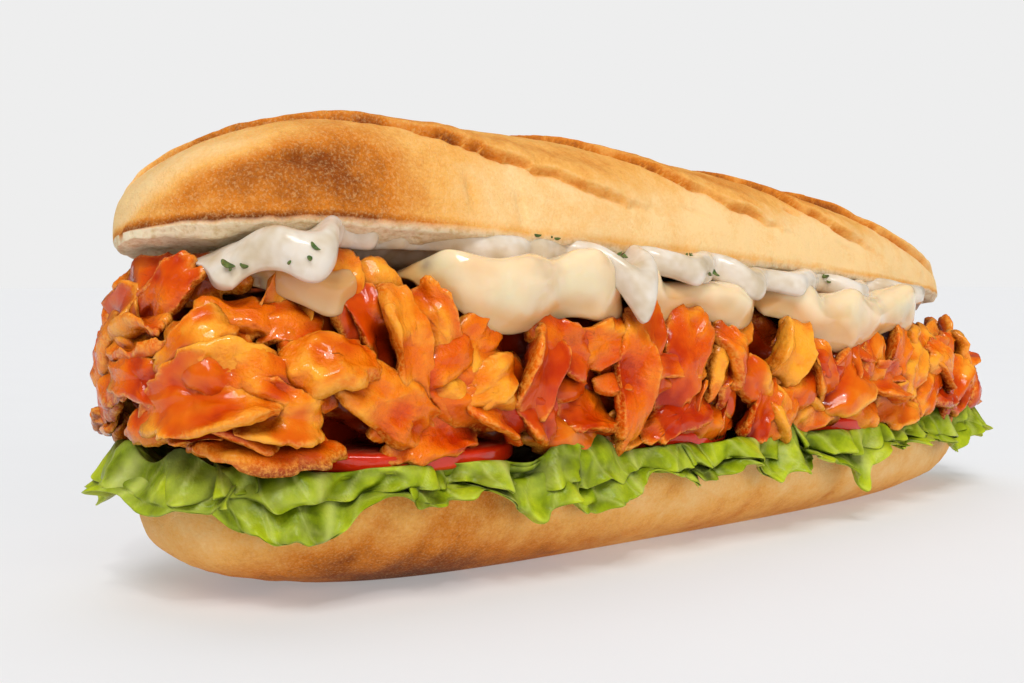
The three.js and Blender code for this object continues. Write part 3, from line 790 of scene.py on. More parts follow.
def make_leaf(name, leaf, turn, seed, thick, inner, finishes, node):
    """One sheet of a leaf. The inner one is shorter and stands up more."""
    mesh = slab_mesh(name, columns=110, rows=34)
    flat = corners_of(mesh)
    u = flat[:, 0] + 0.5
    v = flat[:, 1] + 0.5
    overlap = LEAF_OVERLAP * (1 + inner)
    start, end = leaf["ends"][0] - overlap, leaf["ends"][1] + overlap
    edge = 2 * u - 1
    uneven = noise(np.stack([edge * 0, 30 * v, edge * 0 + np.sign(edge) * 5], axis=1), 7, seed + 8)
    t = start + (end - start) * u + turn + 2.2 * uneven * edge**5
    place, normal = HEEL_RIM(t)
    wave = 0.5 + 0.5 * np.sin(leaf["ruffles"] * 2 * math.pi * u + leaf["phase"])
    lobe = 0.55 + 0.45 * np.sin(leaf["ruffles"] * math.pi * u + leaf["phase"] * 1.7)
    spill = blend(v, 0.42, 1)
    shorter = np.sin(math.pi * (0.04 + 0.92 * u)) ** 0.45
    here = np.stack([t, 30 * v, np.full(len(t), 9.0 * seed)], axis=1)
    frill = np.sin(2 * math.pi * t / FRILL_LENGTH + 3.4 * noise(here, 13, seed)) * blend(v, 0.62, 1)
    crimp = noise(here, 4.6, seed + 1) * blend(v, 0.45, 1)
    pucker = noise(here, 9, seed + 2) * blend(v, 0.25, 0.6)
    fold = noise(here, 16, seed + 6) * blend(v, 0.35, 0.8)
    small = noise(here, 2.4, seed + 7) * blend(v, 0.45, 0.8)
    out = 2 - LEAF_UNDER * np.maximum(1 - 2 * v, 0) + spill * (3.5 + 4.5 * wave - 1.5 * inner)
    out = out + 1.2 * frill + 1.7 * crimp + 1.9 * pucker + 1.3 * fold + 0.5 * small
    hem = here * np.array([1, 0, 1])
    ragged = 1 + 0.26 * noise(hem, 9, seed + 3) + 0.16 * noise(hem, 4, seed + 5)
    ragged = ragged + 0.07 * noise(hem, 1.8, seed)
    fall = leaf["drop"] * lobe * spill * ragged * (1 - 0.35 * wave) * shorter * (1 - 0.72 * inner)
    fall = fall + 1.5 * crimp * spill - 4.6 * inner * bump(v, 0.66, 0.2)
    arch = bump(v, 0.5, 0.2) * (1.5 + 4 * wave) * (1 - 0.95 * near_tomato(place))
    bed = BOTTOM["height"] * lower(place[:, 0]) + LEAF_ABOVE + 0.7 * wave * (1 - spill) + arch
    tipped = blend(v, 0.5, 0.9) * LEAF_TIP
    push = 0.5 * slab_side(flat) * thick * (1 - 0.6 * blend(v, 0.9, 1))
    out = out + push * np.sin(tipped)
    z = bed - fall + push * np.cos(tipped)
    points = np.stack([place[:, 0] + normal[:, 0] * out, place[:, 1] + normal[:, 1] * out, z], axis=1)
    place_corners(mesh, points)
    face_out(mesh)
    middle = np.abs(u - 0.5 - 0.05 * np.sin(3 * v + seed))
    rib = np.exp(-((middle / (0.02 + 0.05 * (1 - v))) ** 2))
    side = np.abs(np.sin(math.pi * (6 * u + 1.6 * v * np.sign(u - 0.5) + 0.25 * noise(here, 9, seed + 4))))
    vein = np.maximum(rib, 0.6 * np.exp(-((side / 0.2) ** 2)) * blend(v, 0.1, 0.5))
    net = np.exp(-((noise(here, 5, seed + 5) / 0.2) ** 2))
    vein = np.maximum(vein, 0.35 * net)
    mark(mesh, "vein", vein)
    mark(mesh, "hem", blend(v, 0.5, 1.0))
    mark(mesh, "fold", 0.12 * (crimp + pucker + 0.5 * frill))
    finish_piece(mesh, name, finishes.lettuce, "lettuce", node)


def make_lettuce(finishes, sizes):
    thick = sizes.leaf_thick / MM
    for index in range(2 * len(LEAVES)):
        turn = HEEL_HALF_ROUND * (index // len(LEAVES))
        node = f"lettuce_leaf_{index + 1}"
        leaf = LEAVES[index % len(LEAVES)]
        name = f"ruffled_leaf_{index + 1}"
        make_leaf(name, leaf, turn, index, thick, 0, finishes, node)
        make_leaf(f"{name}_inner", leaf, turn, index + 20, thick, 1, finishes, node)


# Sauced chicken: a slice's place round the filling, height at the left end's scale, how far out it stands,
# length, width, thickness, roll, how flat it lies, and bend
SLICES = (
    (-173, 69, 0.5, 22, 9, 4.5, 20, 40, 40),
    (-163, 67, 4, 25, 9, 5, 42, 5, 30),
    (-171, 60, 0, 20, 9, 3.4, 8, 80, 20),
    (-168, 55.5, 0, 20, 9, 3.4, 4, 78, -15),
    (-153, 72, 1, 18, 10, 5.5, 5, 20, 30),
    (-142, 64.5, 5, 18, 9, 5.5, -6, 30, 40),
    (-147, 55, 6, 24, 15, 7, -18, 15, 70),
    (-130, 68, 4, 19, 10, 5, 74, 0, 55),
    (-119, 67, 3, 18, 8, 5, 66, 0, 60),
    (-112, 65, 4, 17, 8, 5, -62, 0, 60),
    (-124, 55.5, 7, 24, 12, 6, 8, 35, 35),
    (-111, 47, 4, 28, 13, 6, -35, 5, 40),
    (-105, 59, 3, 26, 8, 5, -72, 5, 30),
    (-150, 47, 6, 31, 16, 6.5, 8, 20, 45),
    (-134, 44, 5, 18, 11, 6, -15, 10, 40),
    (-137, 37.5, 6, 32, 13, 4, 0, 70, 15),
    (-175, 49, 1, 20, 9, 3.6, 20, 65, 25),
    (-88, 49.5, 4, 34, 18, 5, -12, 0, 60),
    (-71, 43, 6, 15, 9, 4.5, -60, 0, 30),
    (-53, 41, 1, 20, 11, 4, -8, 50, 25),
    (-42, 51, 5, 32, 8.5, 5, 84, 0, 30),
    (-23, 56, 4, 27, 12, 6, 70, 10, 45),
    (-23, 40, 5, 28, 9, 5, 18, 25, 25),
    (-7, 54, 3, 19, 9, 5, 78, 0, 35),
    (5, 50, 4, 20, 9, 5, -48, 0, 40),
    (20, 59, 3, 16, 10, 6, 60, 0, 70),
    (27, 48, 4, 21, 10, 5, 30, 15, 35),
    (47, 50, 4, 27, 14, 6, 24, 5, 50),
    (69, 47, 3, 18, 10, 5.5, -25, 20, 35),
    (9, 40.5, 3, 18, 8, 5, 55, 10, 25),
    (86, 52, 3, 20, 11, 5, 35, 10, 40),
    (-96, 38, 3, 22, 10, 5, 12, 20, 20),
    (-60, 37, 3, 22, 10, 5, -14, 15, 30),
    (-38, 37, 2, 18, 9, 5, 20, 20, 20),
    (-10, 38, 3, 20, 10, 5, -10, 15, 30),
    (34, 39, 4, 24, 10, 5, 12, 10, 30),
    (58, 40, 4, 24, 11, 5.5, -20, 15, 35),
    (79, 40, 4, 24, 11, 5, 14, 10, 40),
    (62, 56, 2, 16, 10, 5, 60, 0, 40),
    (96, 45, 4, 22, 11, 5, 40, 10, 40),
    (118, 40, 4, 22, 10, 5, -12, 20, 30),
    (133, 43, 4, 22, 11, 5, 18, 25, 30),
    (144, 48, 4, 22, 11, 5, -20, 30, 30),
    (151, 41, 4, 22, 12, 4.5, 8, 50, 25),
    (160, 45, 4, 22, 12, 5, -14, 40, 25),
    (168, 41, 4, 20, 12, 4.5, 12, 50, 25),
    (103, 57, 4, 15, 10, 6, 10, 20, 30),
    (106, 43, 5, 24, 12, 4.5, -12, 50, 25),
    (124, 49, 3, 18, 10, 5, 40, 20, 30),
    (-187, 65, 0, 17, 9, 5, 30, 20, 30),
    (-197, 55, 0.5, 18, 10, 5, -20, 20, 30),
    (-189, 45, 0, 16, 9, 5, 15, 30, 20),
    (-204, 42, 0, 16, 9, 4.5, 0, 30, 20),
    (-208, 65, 1, 18, 9, 5, 60, 10, 40),
)
# Thin curled strips on top of the others, in the same order
STRIPS = (
    (-118, 71, 7, 20, 9, 5, 75, 0, 60),
    (-107, 70, 7, 18, 9, 5, -65, 0, 60),
    (-125, 71, 6, 16, 8, 5, 55, 0, 50),
    (-166, 50, 5, 22, 9, 5, -15, 20, 50),
    (-135, 52, 7, 22, 9, 5, -22, 10, 60),
    (-152, 58, 6, 20, 9, 5, 30, 10, 60),
    (-160, 43, 6, 20, 8, 5, 18, 20, 50),
    (-142, 43, 8, 20, 8, 5, -12, 20, 60),
    (-97, 55, 6, 20, 8, 5, 35, 0, 60),
    (-83, 44, 6, 20, 8, 5, -30, 10, 50),
    (-98, 63, 5, 20, 9, 5, -70, 0, 50),
    (-88, 61, 4, 18, 9, 5, 40, 0, 50),
    (-71, 54, 5, 22, 9, 5, 62, 0, 50),
    (-61, 59, 4, 22, 10, 5, -30, 0, 50),
    (-50, 61, 4, 24, 10, 5, 15, 0, 50),
    (-36, 61, 4, 20, 9, 5, 70, 0, 40),
    (-33, 53, 4, 20, 9, 5, -20, 0, 40),
    (-14, 62, 3, 18, 9, 5, -40, 0, 40),
    (37, 61, 3, 16, 8, 5, 50, 0, 40),
    (33, 54, 4, 18, 8, 5, -60, 0, 40),
    (95, 61, 3, 16, 8, 5, -50, 0, 40),
    (76, 58, 4, 18, 8, 5, 65, 0, 50),
)
# The larger slices come again at the back, turned another way. Past the loaf's ends all are drawn in.
BACK = dict(first=-140, last=160, jitter=26.0, inset=1.4, least=20.0)
SQUEEZE = dict(beyond=147.0, by=0.4)
FULLER = dict(length=1.06, width=1.12, thick=1.1, bend=1.25)
SLICE_ROOT = 1.2
SLICE_STAND = 0.55
LEAST_SECTION = 0.4
SCRAPS = 150
LOOSE_STRIPS = 24
CORE = dict(inset=3.4, knobs=2.0, shorter=7.0)


def slice_basis(t, height, out, roll, lie):
    """Where a slice's middle is, and its own length, width and outward directions."""
    place, normal = MOUND_RIM(np.array([t]))
    place, normal = place[0], normal[0]
    rise = (2 * height - MOUND["high"] - MOUND["low"]) / (MOUND["high"] - MOUND["low"])
    section = max(1 - abs(rise) ** MOUND["section"], LEAST_SECTION) ** (1 / MOUND["section"])
    reach = SLICE_STAND * out - SLICE_ROOT - (1 - section) * MOUND["width"]
    centre = np.array([*(place + normal * reach), height * lower(place[0])])
    outward = np.array([*normal, 0.0])
    up = np.array([0.0, 0.0, 1.0])
    sideways = np.cross(up, outward)
    c, s = math.cos(math.radians(roll)), math.sin(math.radians(roll))
    long = c * sideways + s * up
    wide = -s * sideways + c * up
    c, s = math.cos(math.radians(-lie)), math.sin(math.radians(-lie))
    wide, face = c * wide + s * outward, -s * wide + c * outward
    return centre, np.stack([long, wide, face])


def torn_slice(ball, row, seed):
    """Shapes a ball into a torn, bent slice: corners, nearness to the rim, rumple, grain, painted shade by
    depth, and tone.
    """
    t, height, out, length, width, thick, roll, lie, bend = row
    length, width, thick = length * FULLER["length"], width * FULLER["width"], thick * FULLER["thick"]
    cup, screw, shade_of = LATTICE[seed % LATTICE_SIDE, :3, 5]
    around = np.arctan2(ball[:, 1], ball[:, 0])
    rim = np.hypot(ball[:, 0], ball[:, 1])
    circle = np.stack([np.cos(around) * 3, np.sin(around) * 3, np.full(len(ball), seed * 5.7)], axis=1)
    torn = 1 + 0.17 * noise(circle, 2.0, 70) + 0.13 * noise(circle, 0.9, 71) + 0.07 * noise(circle, 0.4, 72)
    run = signed_power(ball[:, 0], 0.75) * length / 2 * torn
    across = signed_power(ball[:, 1], 0.75) * width / 2 * torn
    flat = np.stack([run, across, np.full(len(ball), seed * 11.3)], axis=1)
    rumple = 1.9 * noise(flat * np.array([0.75, 1.25, 1]), 8, 73) + 0.8 * (1 - 2 * np.abs(noise(flat, 5, 74)))
    rumple = (rumple + 0.4 * noise(flat, 2.6, 75)) * min(width / 11, 1)
    swell = 1.0 + 0.35 * noise(flat, 7, 77)
    fibre = 0.5 * noise(flat * np.array([0.3, 1.1, 1]), 2.8, 86)
    high = signed_power(ball[:, 2], 0.72) * thick / 2 * swell + rumple + fibre
    high = high + width * (2 * across / width) ** 2 * 0.36 * (cup + 0.25)
    twist = 0.55 * screw * 2 * run / length
    c, s = np.cos(twist), np.sin(twist)
    across, high = across * c - high * s, across * s + high * c
    arc = math.radians(FULLER["bend"] * bend)
    radius = length / arc
    turn = run / radius
    reach = radius + high
    local = np.stack([reach * np.sin(turn), across, reach * np.cos(turn) - radius], axis=1)
    centre, basis = slice_basis(t, height, out, roll, lie)
    # Painted shade: darker towards the slice's underside
    deep = 1 - blend(local[:, 2] - rumple, -0.9 * thick, 0.2 * thick)
    tone = np.full(len(ball), shade_of)
    return centre + local @ basis, blend(rim + 0.1 * (torn - 1), 0.75, 0.99), rumple, flat, deep, tone


def slice_piece(name, rows, around, rings, first_seed, finishes):
    mesh = many_balls(name, len(rows), around, rings)
    balls = corners_of(mesh).reshape(len(rows), -1, 3)
    shaped = [torn_slice(ball, row, first_seed + i) for i, (ball, row) in enumerate(zip(balls, rows))]
    points, rim, rumple, grain, deep, tone = (np.concatenate([part[i] for part in shaped]) for i in range(6))
    beyond = np.maximum(np.abs(points[:, 0]) - SQUEEZE["beyond"], 0)
    points[:, 0] -= np.sign(points[:, 0]) * SQUEEZE["by"] * beyond
    place_corners(mesh, points)
    face_out(mesh)
    lumps = 0.8 * noise(points, 5.2, 85)
    fine = 0.36 * noise(points, 2.4, 80) + 0.15 * noise(points, 1.1, 82)
    push_out(mesh, lumps + fine + 0.35 * rim * noise(points, 1.9, 81))
    mark(mesh, "torn", rim)
    mark(mesh, "ridge", np.clip(0.45 + 0.2 * rumple + 0.3 * lumps + 0.5 * fine + 0.3 * tone, 0, 1))
    pooled = 0.5 + 0.7 * noise(points, 15, 83) + 0.3 * noise(points, 5, 84) - 0.3 * rim
    mark(mesh, "pool", blend(pooled, 0.4, 0.8))
    # Painted shade on the slices' undersides
    mark(mesh, "deep", 0.8 * deep)
    mark(mesh, "grain", grain * MM)
    return finish_piece(mesh, name, finishes.chicken, "chicken", "chicken_filling")


def make_core(finishes):
    mesh = ball_mesh("sauced_chicken_heap", around=90, rings=150, halvings=1)
    ball = corners_of(mesh)
    s = np.clip(ball[:, 2], -1, 1)
    x = s * (MOUND["half"] - CORE["shorter"])
    angle = np.arctan2(ball[:, 1], -ball[:, 0])
    knob = np.sin(x * 0.33 + 2 * angle) * np.sin(angle * 7 + x * 0.11)
    points = mound_point(x, angle, CORE["knobs"] * knob - CORE["inset"])
    middle = (MOUND["low"] + MOUND["high"]) / 2 * lower(x)
    closing = np.sqrt(np.maximum(1 - np.abs(s) ** 8, 0))
    points[:, 1] *= closing
    points[:, 2] = middle + (points[:, 2] - middle) * closing
    place_corners(mesh, points)
    face_out(mesh)
    lumps = 1.5 * noise(points, 11, 90) + 1.2 * noise(points, 5.5, 91) + 0.6 * noise(points, 2.6, 92)
    push_out(mesh, lumps * blend(closing, 0.1, 0.6))
    mark(mesh, "torn", blend(noise(points, 6, 93), 0.2, 0.8) * 0.5)
    mark(mesh, "pool", blend(-lumps, -1.4, 1.0))
    mark(mesh, "ridge", np.clip(0.3 + 0.15 * lumps, 0, 1))
    # Painted shade: the heap under the slices is darkened all over, as it shows only in the shaded gaps
    mark(mesh, "deep", np.full(len(points), 0.9))
    mark(mesh, "grain", points * MM)
    return finish_piece(mesh, "sauced_chicken_heap", finishes.chicken, "chicken", "chicken_filling")


def back_slices(draw):
    rows = []
    for t, height, out, length, width, thick, roll, lie, bend in SLICES:
        if BACK["first"] < t < BACK["last"] and length > BACK["least"]:
            turned = BACK["jitter"] * draw.uniform(-1, 1) - roll
            inner = out - BACK["inset"]
            rows.append((MOUND_HALF_ROUND - t, height, inner, length, width, thick, turned, lie, bend))
    return rows


def small_scraps(draw):
    """Short bits low between the slices, all round the filling."""
    rows = []
    for _ in range(SCRAPS):
        t = draw.uniform(0, 2 * MOUND_HALF_ROUND)
        length = draw.uniform(8, 17)
        height = draw.uniform(35, 66)
        width = length * draw.uniform(0.35, 0.6)
        out = draw.uniform(-1, 2.5)
        roll = draw.uniform(-90, 90)
        lie = draw.uniform(0, 50)
        bend = draw.uniform(20, 70)
        rows.append((t, height, out, length, width, 4, roll, lie, bend))
    return rows


def loose_strips(draw):
    """More curled strips, from the left end on round the back."""
    rows = []
    for _ in range(LOOSE_STRIPS):
        t = draw.uniform(-190, 2 * MOUND_HALF_ROUND - 190)
        length = draw.uniform(14, 22)
        width = draw.uniform(6, 8.5)
        height = draw.uniform(39, 60)
        out = draw.uniform(6, 9)
        roll = draw.uniform(-90, 90)
        lie = draw.uniform(0, 20)
        bend = draw.uniform(45, 80)
        rows.append((t, height, out, length, width, 4.5, roll, lie, bend))
    return rows


def make_chicken(finishes):
    draw = random.Random(20)
    back = back_slices(draw)
    scraps = small_scraps(draw)
    strips = [*STRIPS, *loose_strips(draw)]
    half = len(SLICES) // 2
    make_core(finishes)
    slice_piece("torn_chicken_left", SLICES[:half], 72, 30, 0, finishes)
    slice_piece("torn_chicken_right", SLICES[half:], 72, 30, 100, finishes)
    slice_piece("torn_chicken_back", back, 56, 24, 200, finishes)
    slice_piece("chicken_strips", strips, 56, 24, 500, finishes)
    slice_piece("chicken_scraps", scraps, 32, 16, 300, finishes)


# Chicken in hot sauce: cooked white meat under a thick orange glaze, paler on ridges and torn rims, with
# painted shade in the gaps between pieces and on their undersides
def chicken_material(colours):
    material, tree, shader, coords = new_material(
        "glazed_chicken_braised",
        Roughness=0.25,
        IOR=1.42,
        Specular_IOR_Level=0.2,
        Subsurface_Weight=0.12,
        Subsurface_Scale=0.002,
        Subsurface_Radius=(1.0, 0.5, 0.08),
        Coat_Weight=0.4,
        Coat_Roughness=0.06,
    )
    cloud = noise_at(tree, coords, 7, 3)
    speck = noise_at(tree, coords, 1.2, 3, 0.7)
    share = calc(tree, "MULTIPLY_ADD", attribute(tree, "ridge"), 0.55, calc(tree, "MULTIPLY", cloud, 0.5))
    share = calc(tree, "SUBTRACT", share, calc(tree, "MULTIPLY", attribute(tree, "pool"), 0.2))
    glaze = ramp(
        tree,
        share,
        [
            (0.15, colours.chicken_red),
            (0.36, colours.chicken),
            (0.58, colours.chicken_orange),
            (0.8, colours.chicken_pale),
        ],
    )
    glaze = mix_colour(tree, calc(tree, "MULTIPLY", attribute(tree, "pool"), 0.3), glaze, colours.chicken_red)
    # Painted shade: the glaze darkens in the gaps between pieces and where each piece turns under
    gap = calc(tree, "MULTIPLY", gap_shade(tree, 6, [(0.3, 1.0), (0.8, 0.0)]), 0.85)
    gap = calc(tree, "MAXIMUM", attribute(tree, "deep"), gap)
    glaze = mix_colour(tree, gap, glaze, colours.chicken_deep)
    torn = calc(tree, "MULTIPLY", attribute(tree, "torn"), ramp(tree, speck, [(0.42, 0.0), (0.62, 1.0)]))
    torn = calc(tree, "MULTIPLY", torn, 0.6)
    tree.links.new(mix_colour(tree, torn, glaze, colours.chicken_rim), shader.inputs["Base Color"])
    threads = noise_at(tree, attribute(tree, "grain", "Vector"), 1.1, 2, 0.6)
    relief = calc(tree, "ADD", calc(tree, "MULTIPLY", speck, 0.6), calc(tree, "MULTIPLY", threads, 0.6))
    relief = calc(tree, "MULTIPLY", relief, calc(tree, "SUBTRACT", 1.15, attribute(tree, "pool")))
    bump_from(tree, shader, relief, 0.6)
    return material


# Lettuce: crisp curled leaf, waxy, lit through, with pale ribs
def lettuce_material(colours):
    material, tree, shader, coords = new_material(
        "curled_lettuce_fresh",
        Roughness=0.42,
        IOR=1.42,
        Specular_IOR_Level=0.25,
        Subsurface_Weight=0.25,
        Subsurface_Scale=0.0015,
        Subsurface_Radius=(0.7, 1.0, 0.2),
        Coat_Weight=0.08,
        Coat_Roughness=0.2,
    )
    cloud = calc(tree, "ADD", noise_at(tree, coords, 8, 4), attribute(tree, "fold"))
    stops = [(0.3, colours.lettuce_deep), (0.5, colours.lettuce), (0.72, colours.lettuce_light)]
    leaf = ramp(tree, cloud, stops)
    hem = calc(tree, "MULTIPLY", attribute(tree, "hem"), 0.35)
    leaf = mix_colour(tree, hem, leaf, colours.lettuce_light)
    # Painted shade: the leaf darkens where leaves lie close together
    gap = calc(tree, "MULTIPLY", gap_shade(tree, 8, [(0.3, 1.0), (0.9, 0.0)]), 0.9)
    leaf = mix_colour(tree, gap, leaf, colours.lettuce_deep)
    vein = attribute(tree, "vein")
    leaf = mix_colour(tree, calc(tree, "MULTIPLY", vein, 0.5), leaf, colours.lettuce_rib)
    tree.links.new(leaf, shader.inputs["Base Color"])
    relief = calc(tree, "MULTIPLY_ADD", vein, 0.8, noise_at(tree, coords, 2.2, 3))
    bump_from(tree, shader, relief, 0.4)
    return material


# Tomato: a cut slice of ripe fruit, wet, with a thin glossy skin round its rim
def tomato_material(colours):
    material, tree, shader, coords = new_material(
        "ripe_tomato_cut",
        Roughness=0.16,
        IOR=1.4,
        Subsurface_Weight=0.5,
        Subsurface_Scale=0.003,
        Subsurface_Radius=(1.0, 0.2, 0.1),
        Coat_Weight=0.6,
        Coat_Roughness=0.05,
    )
    cloud = noise_at(tree, coords, 8, 3)
    flesh = ramp(tree, cloud, [(0.3, colours.tomato), (0.7, colours.tomato_flesh)])
    slice_colour = mix_colour(tree, attribute(tree, "skin"), flesh, colours.tomato_skin)
    tree.links.new(slice_colour, shader.inputs["Base Color"])
    bump_from(tree, shader, noise_at(tree, coords, 2.0, 3), 0.2)
    return material


# Herb flecks on the white sauce: place along the loaf, share of the filling's height, and side
FLECKS = (
    (-129, 0.68, -1),
    (-141.5, 0.78, -1),
    (-66, 0.9, -1),
    (-60, 0.9, -1),
    (-47, 0.78, -1),
    (-42, 0.86, -1),
    (-18, 0.86, -1),
    (-12, 0.76, -1),
    (47, 0.9, -1),
    (-30, 0.6, 1),
    (-77, 0.82, 1),
    (64, 0.74, 1),
)
FLECK_BITS = 3
FLECK_HIGHEST = 0.97


def on_sauce(x, share, side, thick):
    """The out height of the white sauce's surface there."""
    level = math.asin(share ** (MOUND["section"] / 2))
    hem_share = min(sauce_hem(np.array([x]), np.array([side < 0]))[0], HEM_MOST)
    hem = math.asin(hem_share ** (MOUND["section"] / 2))
    v = side * (math.pi / 2 - level) / (math.pi / 2 - hem)
    return sauce_outward(np.array([x]), np.array([v]))[0] + thick / 2 + 1.2 * bump(abs(v), 0.85, 0.16)


def make_flecks(finishes, sizes):
    draw = random.Random(4)
    bits = []
    for x, share, side in FLECKS:
        for bit in range(FLECK_BITS):
            spread = 1 if bit else 0
            beside = spread * draw.uniform(-4.5, 4.5)
            above = spread * draw.uniform(-0.05, 0.03)
            bits.append((x + beside, share + above, side, bit))
    mesh = many_balls("herb_flecks", len(bits), around=20, rings=10)
    balls = corners_of(mesh).reshape(len(bits), -1, 3)
    shaped = []
    for ball, (x, share, side, bit) in zip(balls, bits):
        share = min(share, FLECK_HIGHEST)
        level = math.asin(share ** (MOUND["section"] / 2))
        angle = level if side < 0 else math.pi - level
        out = on_sauce(x, share, side, sizes.sauce_thick / MM) + 0.1
        at = mound_point(np.array([float(x)]), angle, out)[0]
        turn = draw.uniform(-1.4, 1.4)
        length = draw.uniform(0.45, 1.0) if bit else draw.uniform(1.0, 1.6)
        width = length * draw.uniform(0.35, 0.65)
        curl = 0.35 * ball[:, 0] ** 2 * length
        run = ball[:, 0] * length
        wide = ball[:, 1] * width * (1 - 0.4 * ball[:, 0])
        high = ball[:, 2] * 0.35 + curl
        across = run * math.cos(turn) - wide * math.sin(turn)
        up = run * math.sin(turn) + wide * math.cos(turn)
        lean = math.sin(level)
        outwards = side * (high * math.cos(level) - up * lean)
        here = np.stack([across, outwards, up * math.cos(level) + high * lean], axis=1)
        shaped.append(at + here)
    points = np.concatenate(shaped)
    place_corners(mesh, points)
    face_out(mesh)
    push_out(mesh, 0.12 * noise(points, 0.9, 95))
    return finish_piece(mesh, "herb_flecks", finishes.herb, "white_sauce", "white_sauce")


# Chopped green herb: matt, dark, damp
def herb_material(colours):
    material, tree, shader, coords = new_material("chopped_herb", Roughness=0.5, Subsurface_Weight=0.1)
    cloud = noise_at(tree, coords, 1.2, 2)
    green = ramp(tree, cloud, [(0.3, colours.herb_deep), (0.7, colours.herb_light)])
    tree.links.new(green, shader.inputs["Base Color"])
    bump_from(tree, shader, cloud, 0.1)
    return material


# Stage, light and camera
CAMERA_PLACE = (-0.2713, -0.2770, 0.0730)
CAMERA_TURN = 0.884
CAMERA_TILT = -0.051
CAMERA_LENS = 47.29
SENSOR_WIDTH = 36.0
BACKDROP_LIGHT = 0.855
FILL_LIGHT = 0.3
SHINE_LIGHT = 0.12
FLOOR_GLOW = 0.272
FLOOR_REACH = 6.0


def make_camera():
    data = bpy.data.cameras.new("camera")
    data.lens = CAMERA_LENS
    data.sensor_width = SENSOR_WIDTH
    camera = bpy.data.objects.new("camera", data)
    camera.location = CAMERA_PLACE
    level = math.cos(CAMERA_TILT)
    aim = Vector((math.cos(CAMERA_TURN) * level, math.sin(CAMERA_TURN) * level, math.sin(CAMERA_TILT)))
    camera.rotation_euler = aim.to_track_quat("-Z", "Y").to_euler()
    bpy.context.scene.collection.objects.link(camera)
    bpy.context.scene.camera = camera


def add_sun(name, toward, strength, softness, glints=True):
    """Even light from afar. toward points at it, and softness is its width in degrees."""
    data = bpy.data.lights.new(name, "SUN")
    data.energy = strength
    data.angle = math.radians(softness)
    light = bpy.data.objects.new(name, data)
    light.visible_glossy = glints
    light.rotation_euler = Vector(toward).to_track_quat("Z", "Y").to_euler()
    bpy.context.scene.collection.objects.link(light)


def make_floor():
    bm = bmesh.new()
    bmesh.ops.create_grid(bm, x_segments=2, y_segments=2, size=FLOOR_REACH)
    mesh = to_mesh(bm, "floor")
    floor = bpy.data.objects.new("floor", mesh)
    bpy.context.scene.collection.objects.link(floor)
    material, tree, shader, coords = new_material(
        "matt_paper_lit_through",
        Roughness=0.9,
        Specular_IOR_Level=0.1,
        Emission_Color=shade(1.0),
        Emission_Strength=FLOOR_GLOW,
    )
    grain = ramp(tree, noise_at(tree, coords, 60, 2), [(0.3, "#CBCCCE"), (0.7, "#CCCDCF")])
    tree.links.new(grain, shader.inputs["Base Color"])
    mesh.materials.append(material)


def make_world():
    """The surroundings look as pale as the floor. They light the food less, and shine on it least."""
    world = bpy.data.worlds.new("studio")
    world.use_nodes = True
    tree = world.node_tree
    background = tree.nodes["Background"]
    background.inputs["Color"].default_value = shade(1.0)
    path = add_node(tree, "ShaderNodeLightPath").outputs
    strength = calc(tree, "MULTIPLY_ADD", path["Is Camera Ray"], BACKDROP_LIGHT - FILL_LIGHT, FILL_LIGHT)
    strength = calc(tree, "MULTIPLY_ADD", path["Is Glossy Ray"], SHINE_LIGHT - FILL_LIGHT, strength)
    tree.links.new(strength, background.inputs["Strength"])
    bpy.context.scene.world = world
    bpy.context.scene.view_settings.view_transform = "Standard"


def make_stage():
    make_floor()
    make_world()
    make_camera()
    add_sun("key_light", (-0.55, -0.5, 0.85), 1.5, 24)
    add_sun("glint_light", (-0.4, -0.65, 0.8), 0.35, 4)
    add_sun("back_light", (0.05, 0.3, 0.95), 0.6, 50, glints=False)
    add_sun("front_fill", (-0.1, -1.0, 0.15), 1.1, 40, glints=False)


# What a user would change
def colour_setting(name, description, value):
    return bpy.props.FloatVectorProperty(
        name=name, description=description, subtype="COLOR", size=4, min=0, max=1, default=linear(value)
    )


def length_setting(name, description, millimetres):
    return bpy.props.FloatProperty(
        name=name, description=description, default=millimetres * MM, min=0, subtype="DISTANCE", unit="LENGTH"
    )


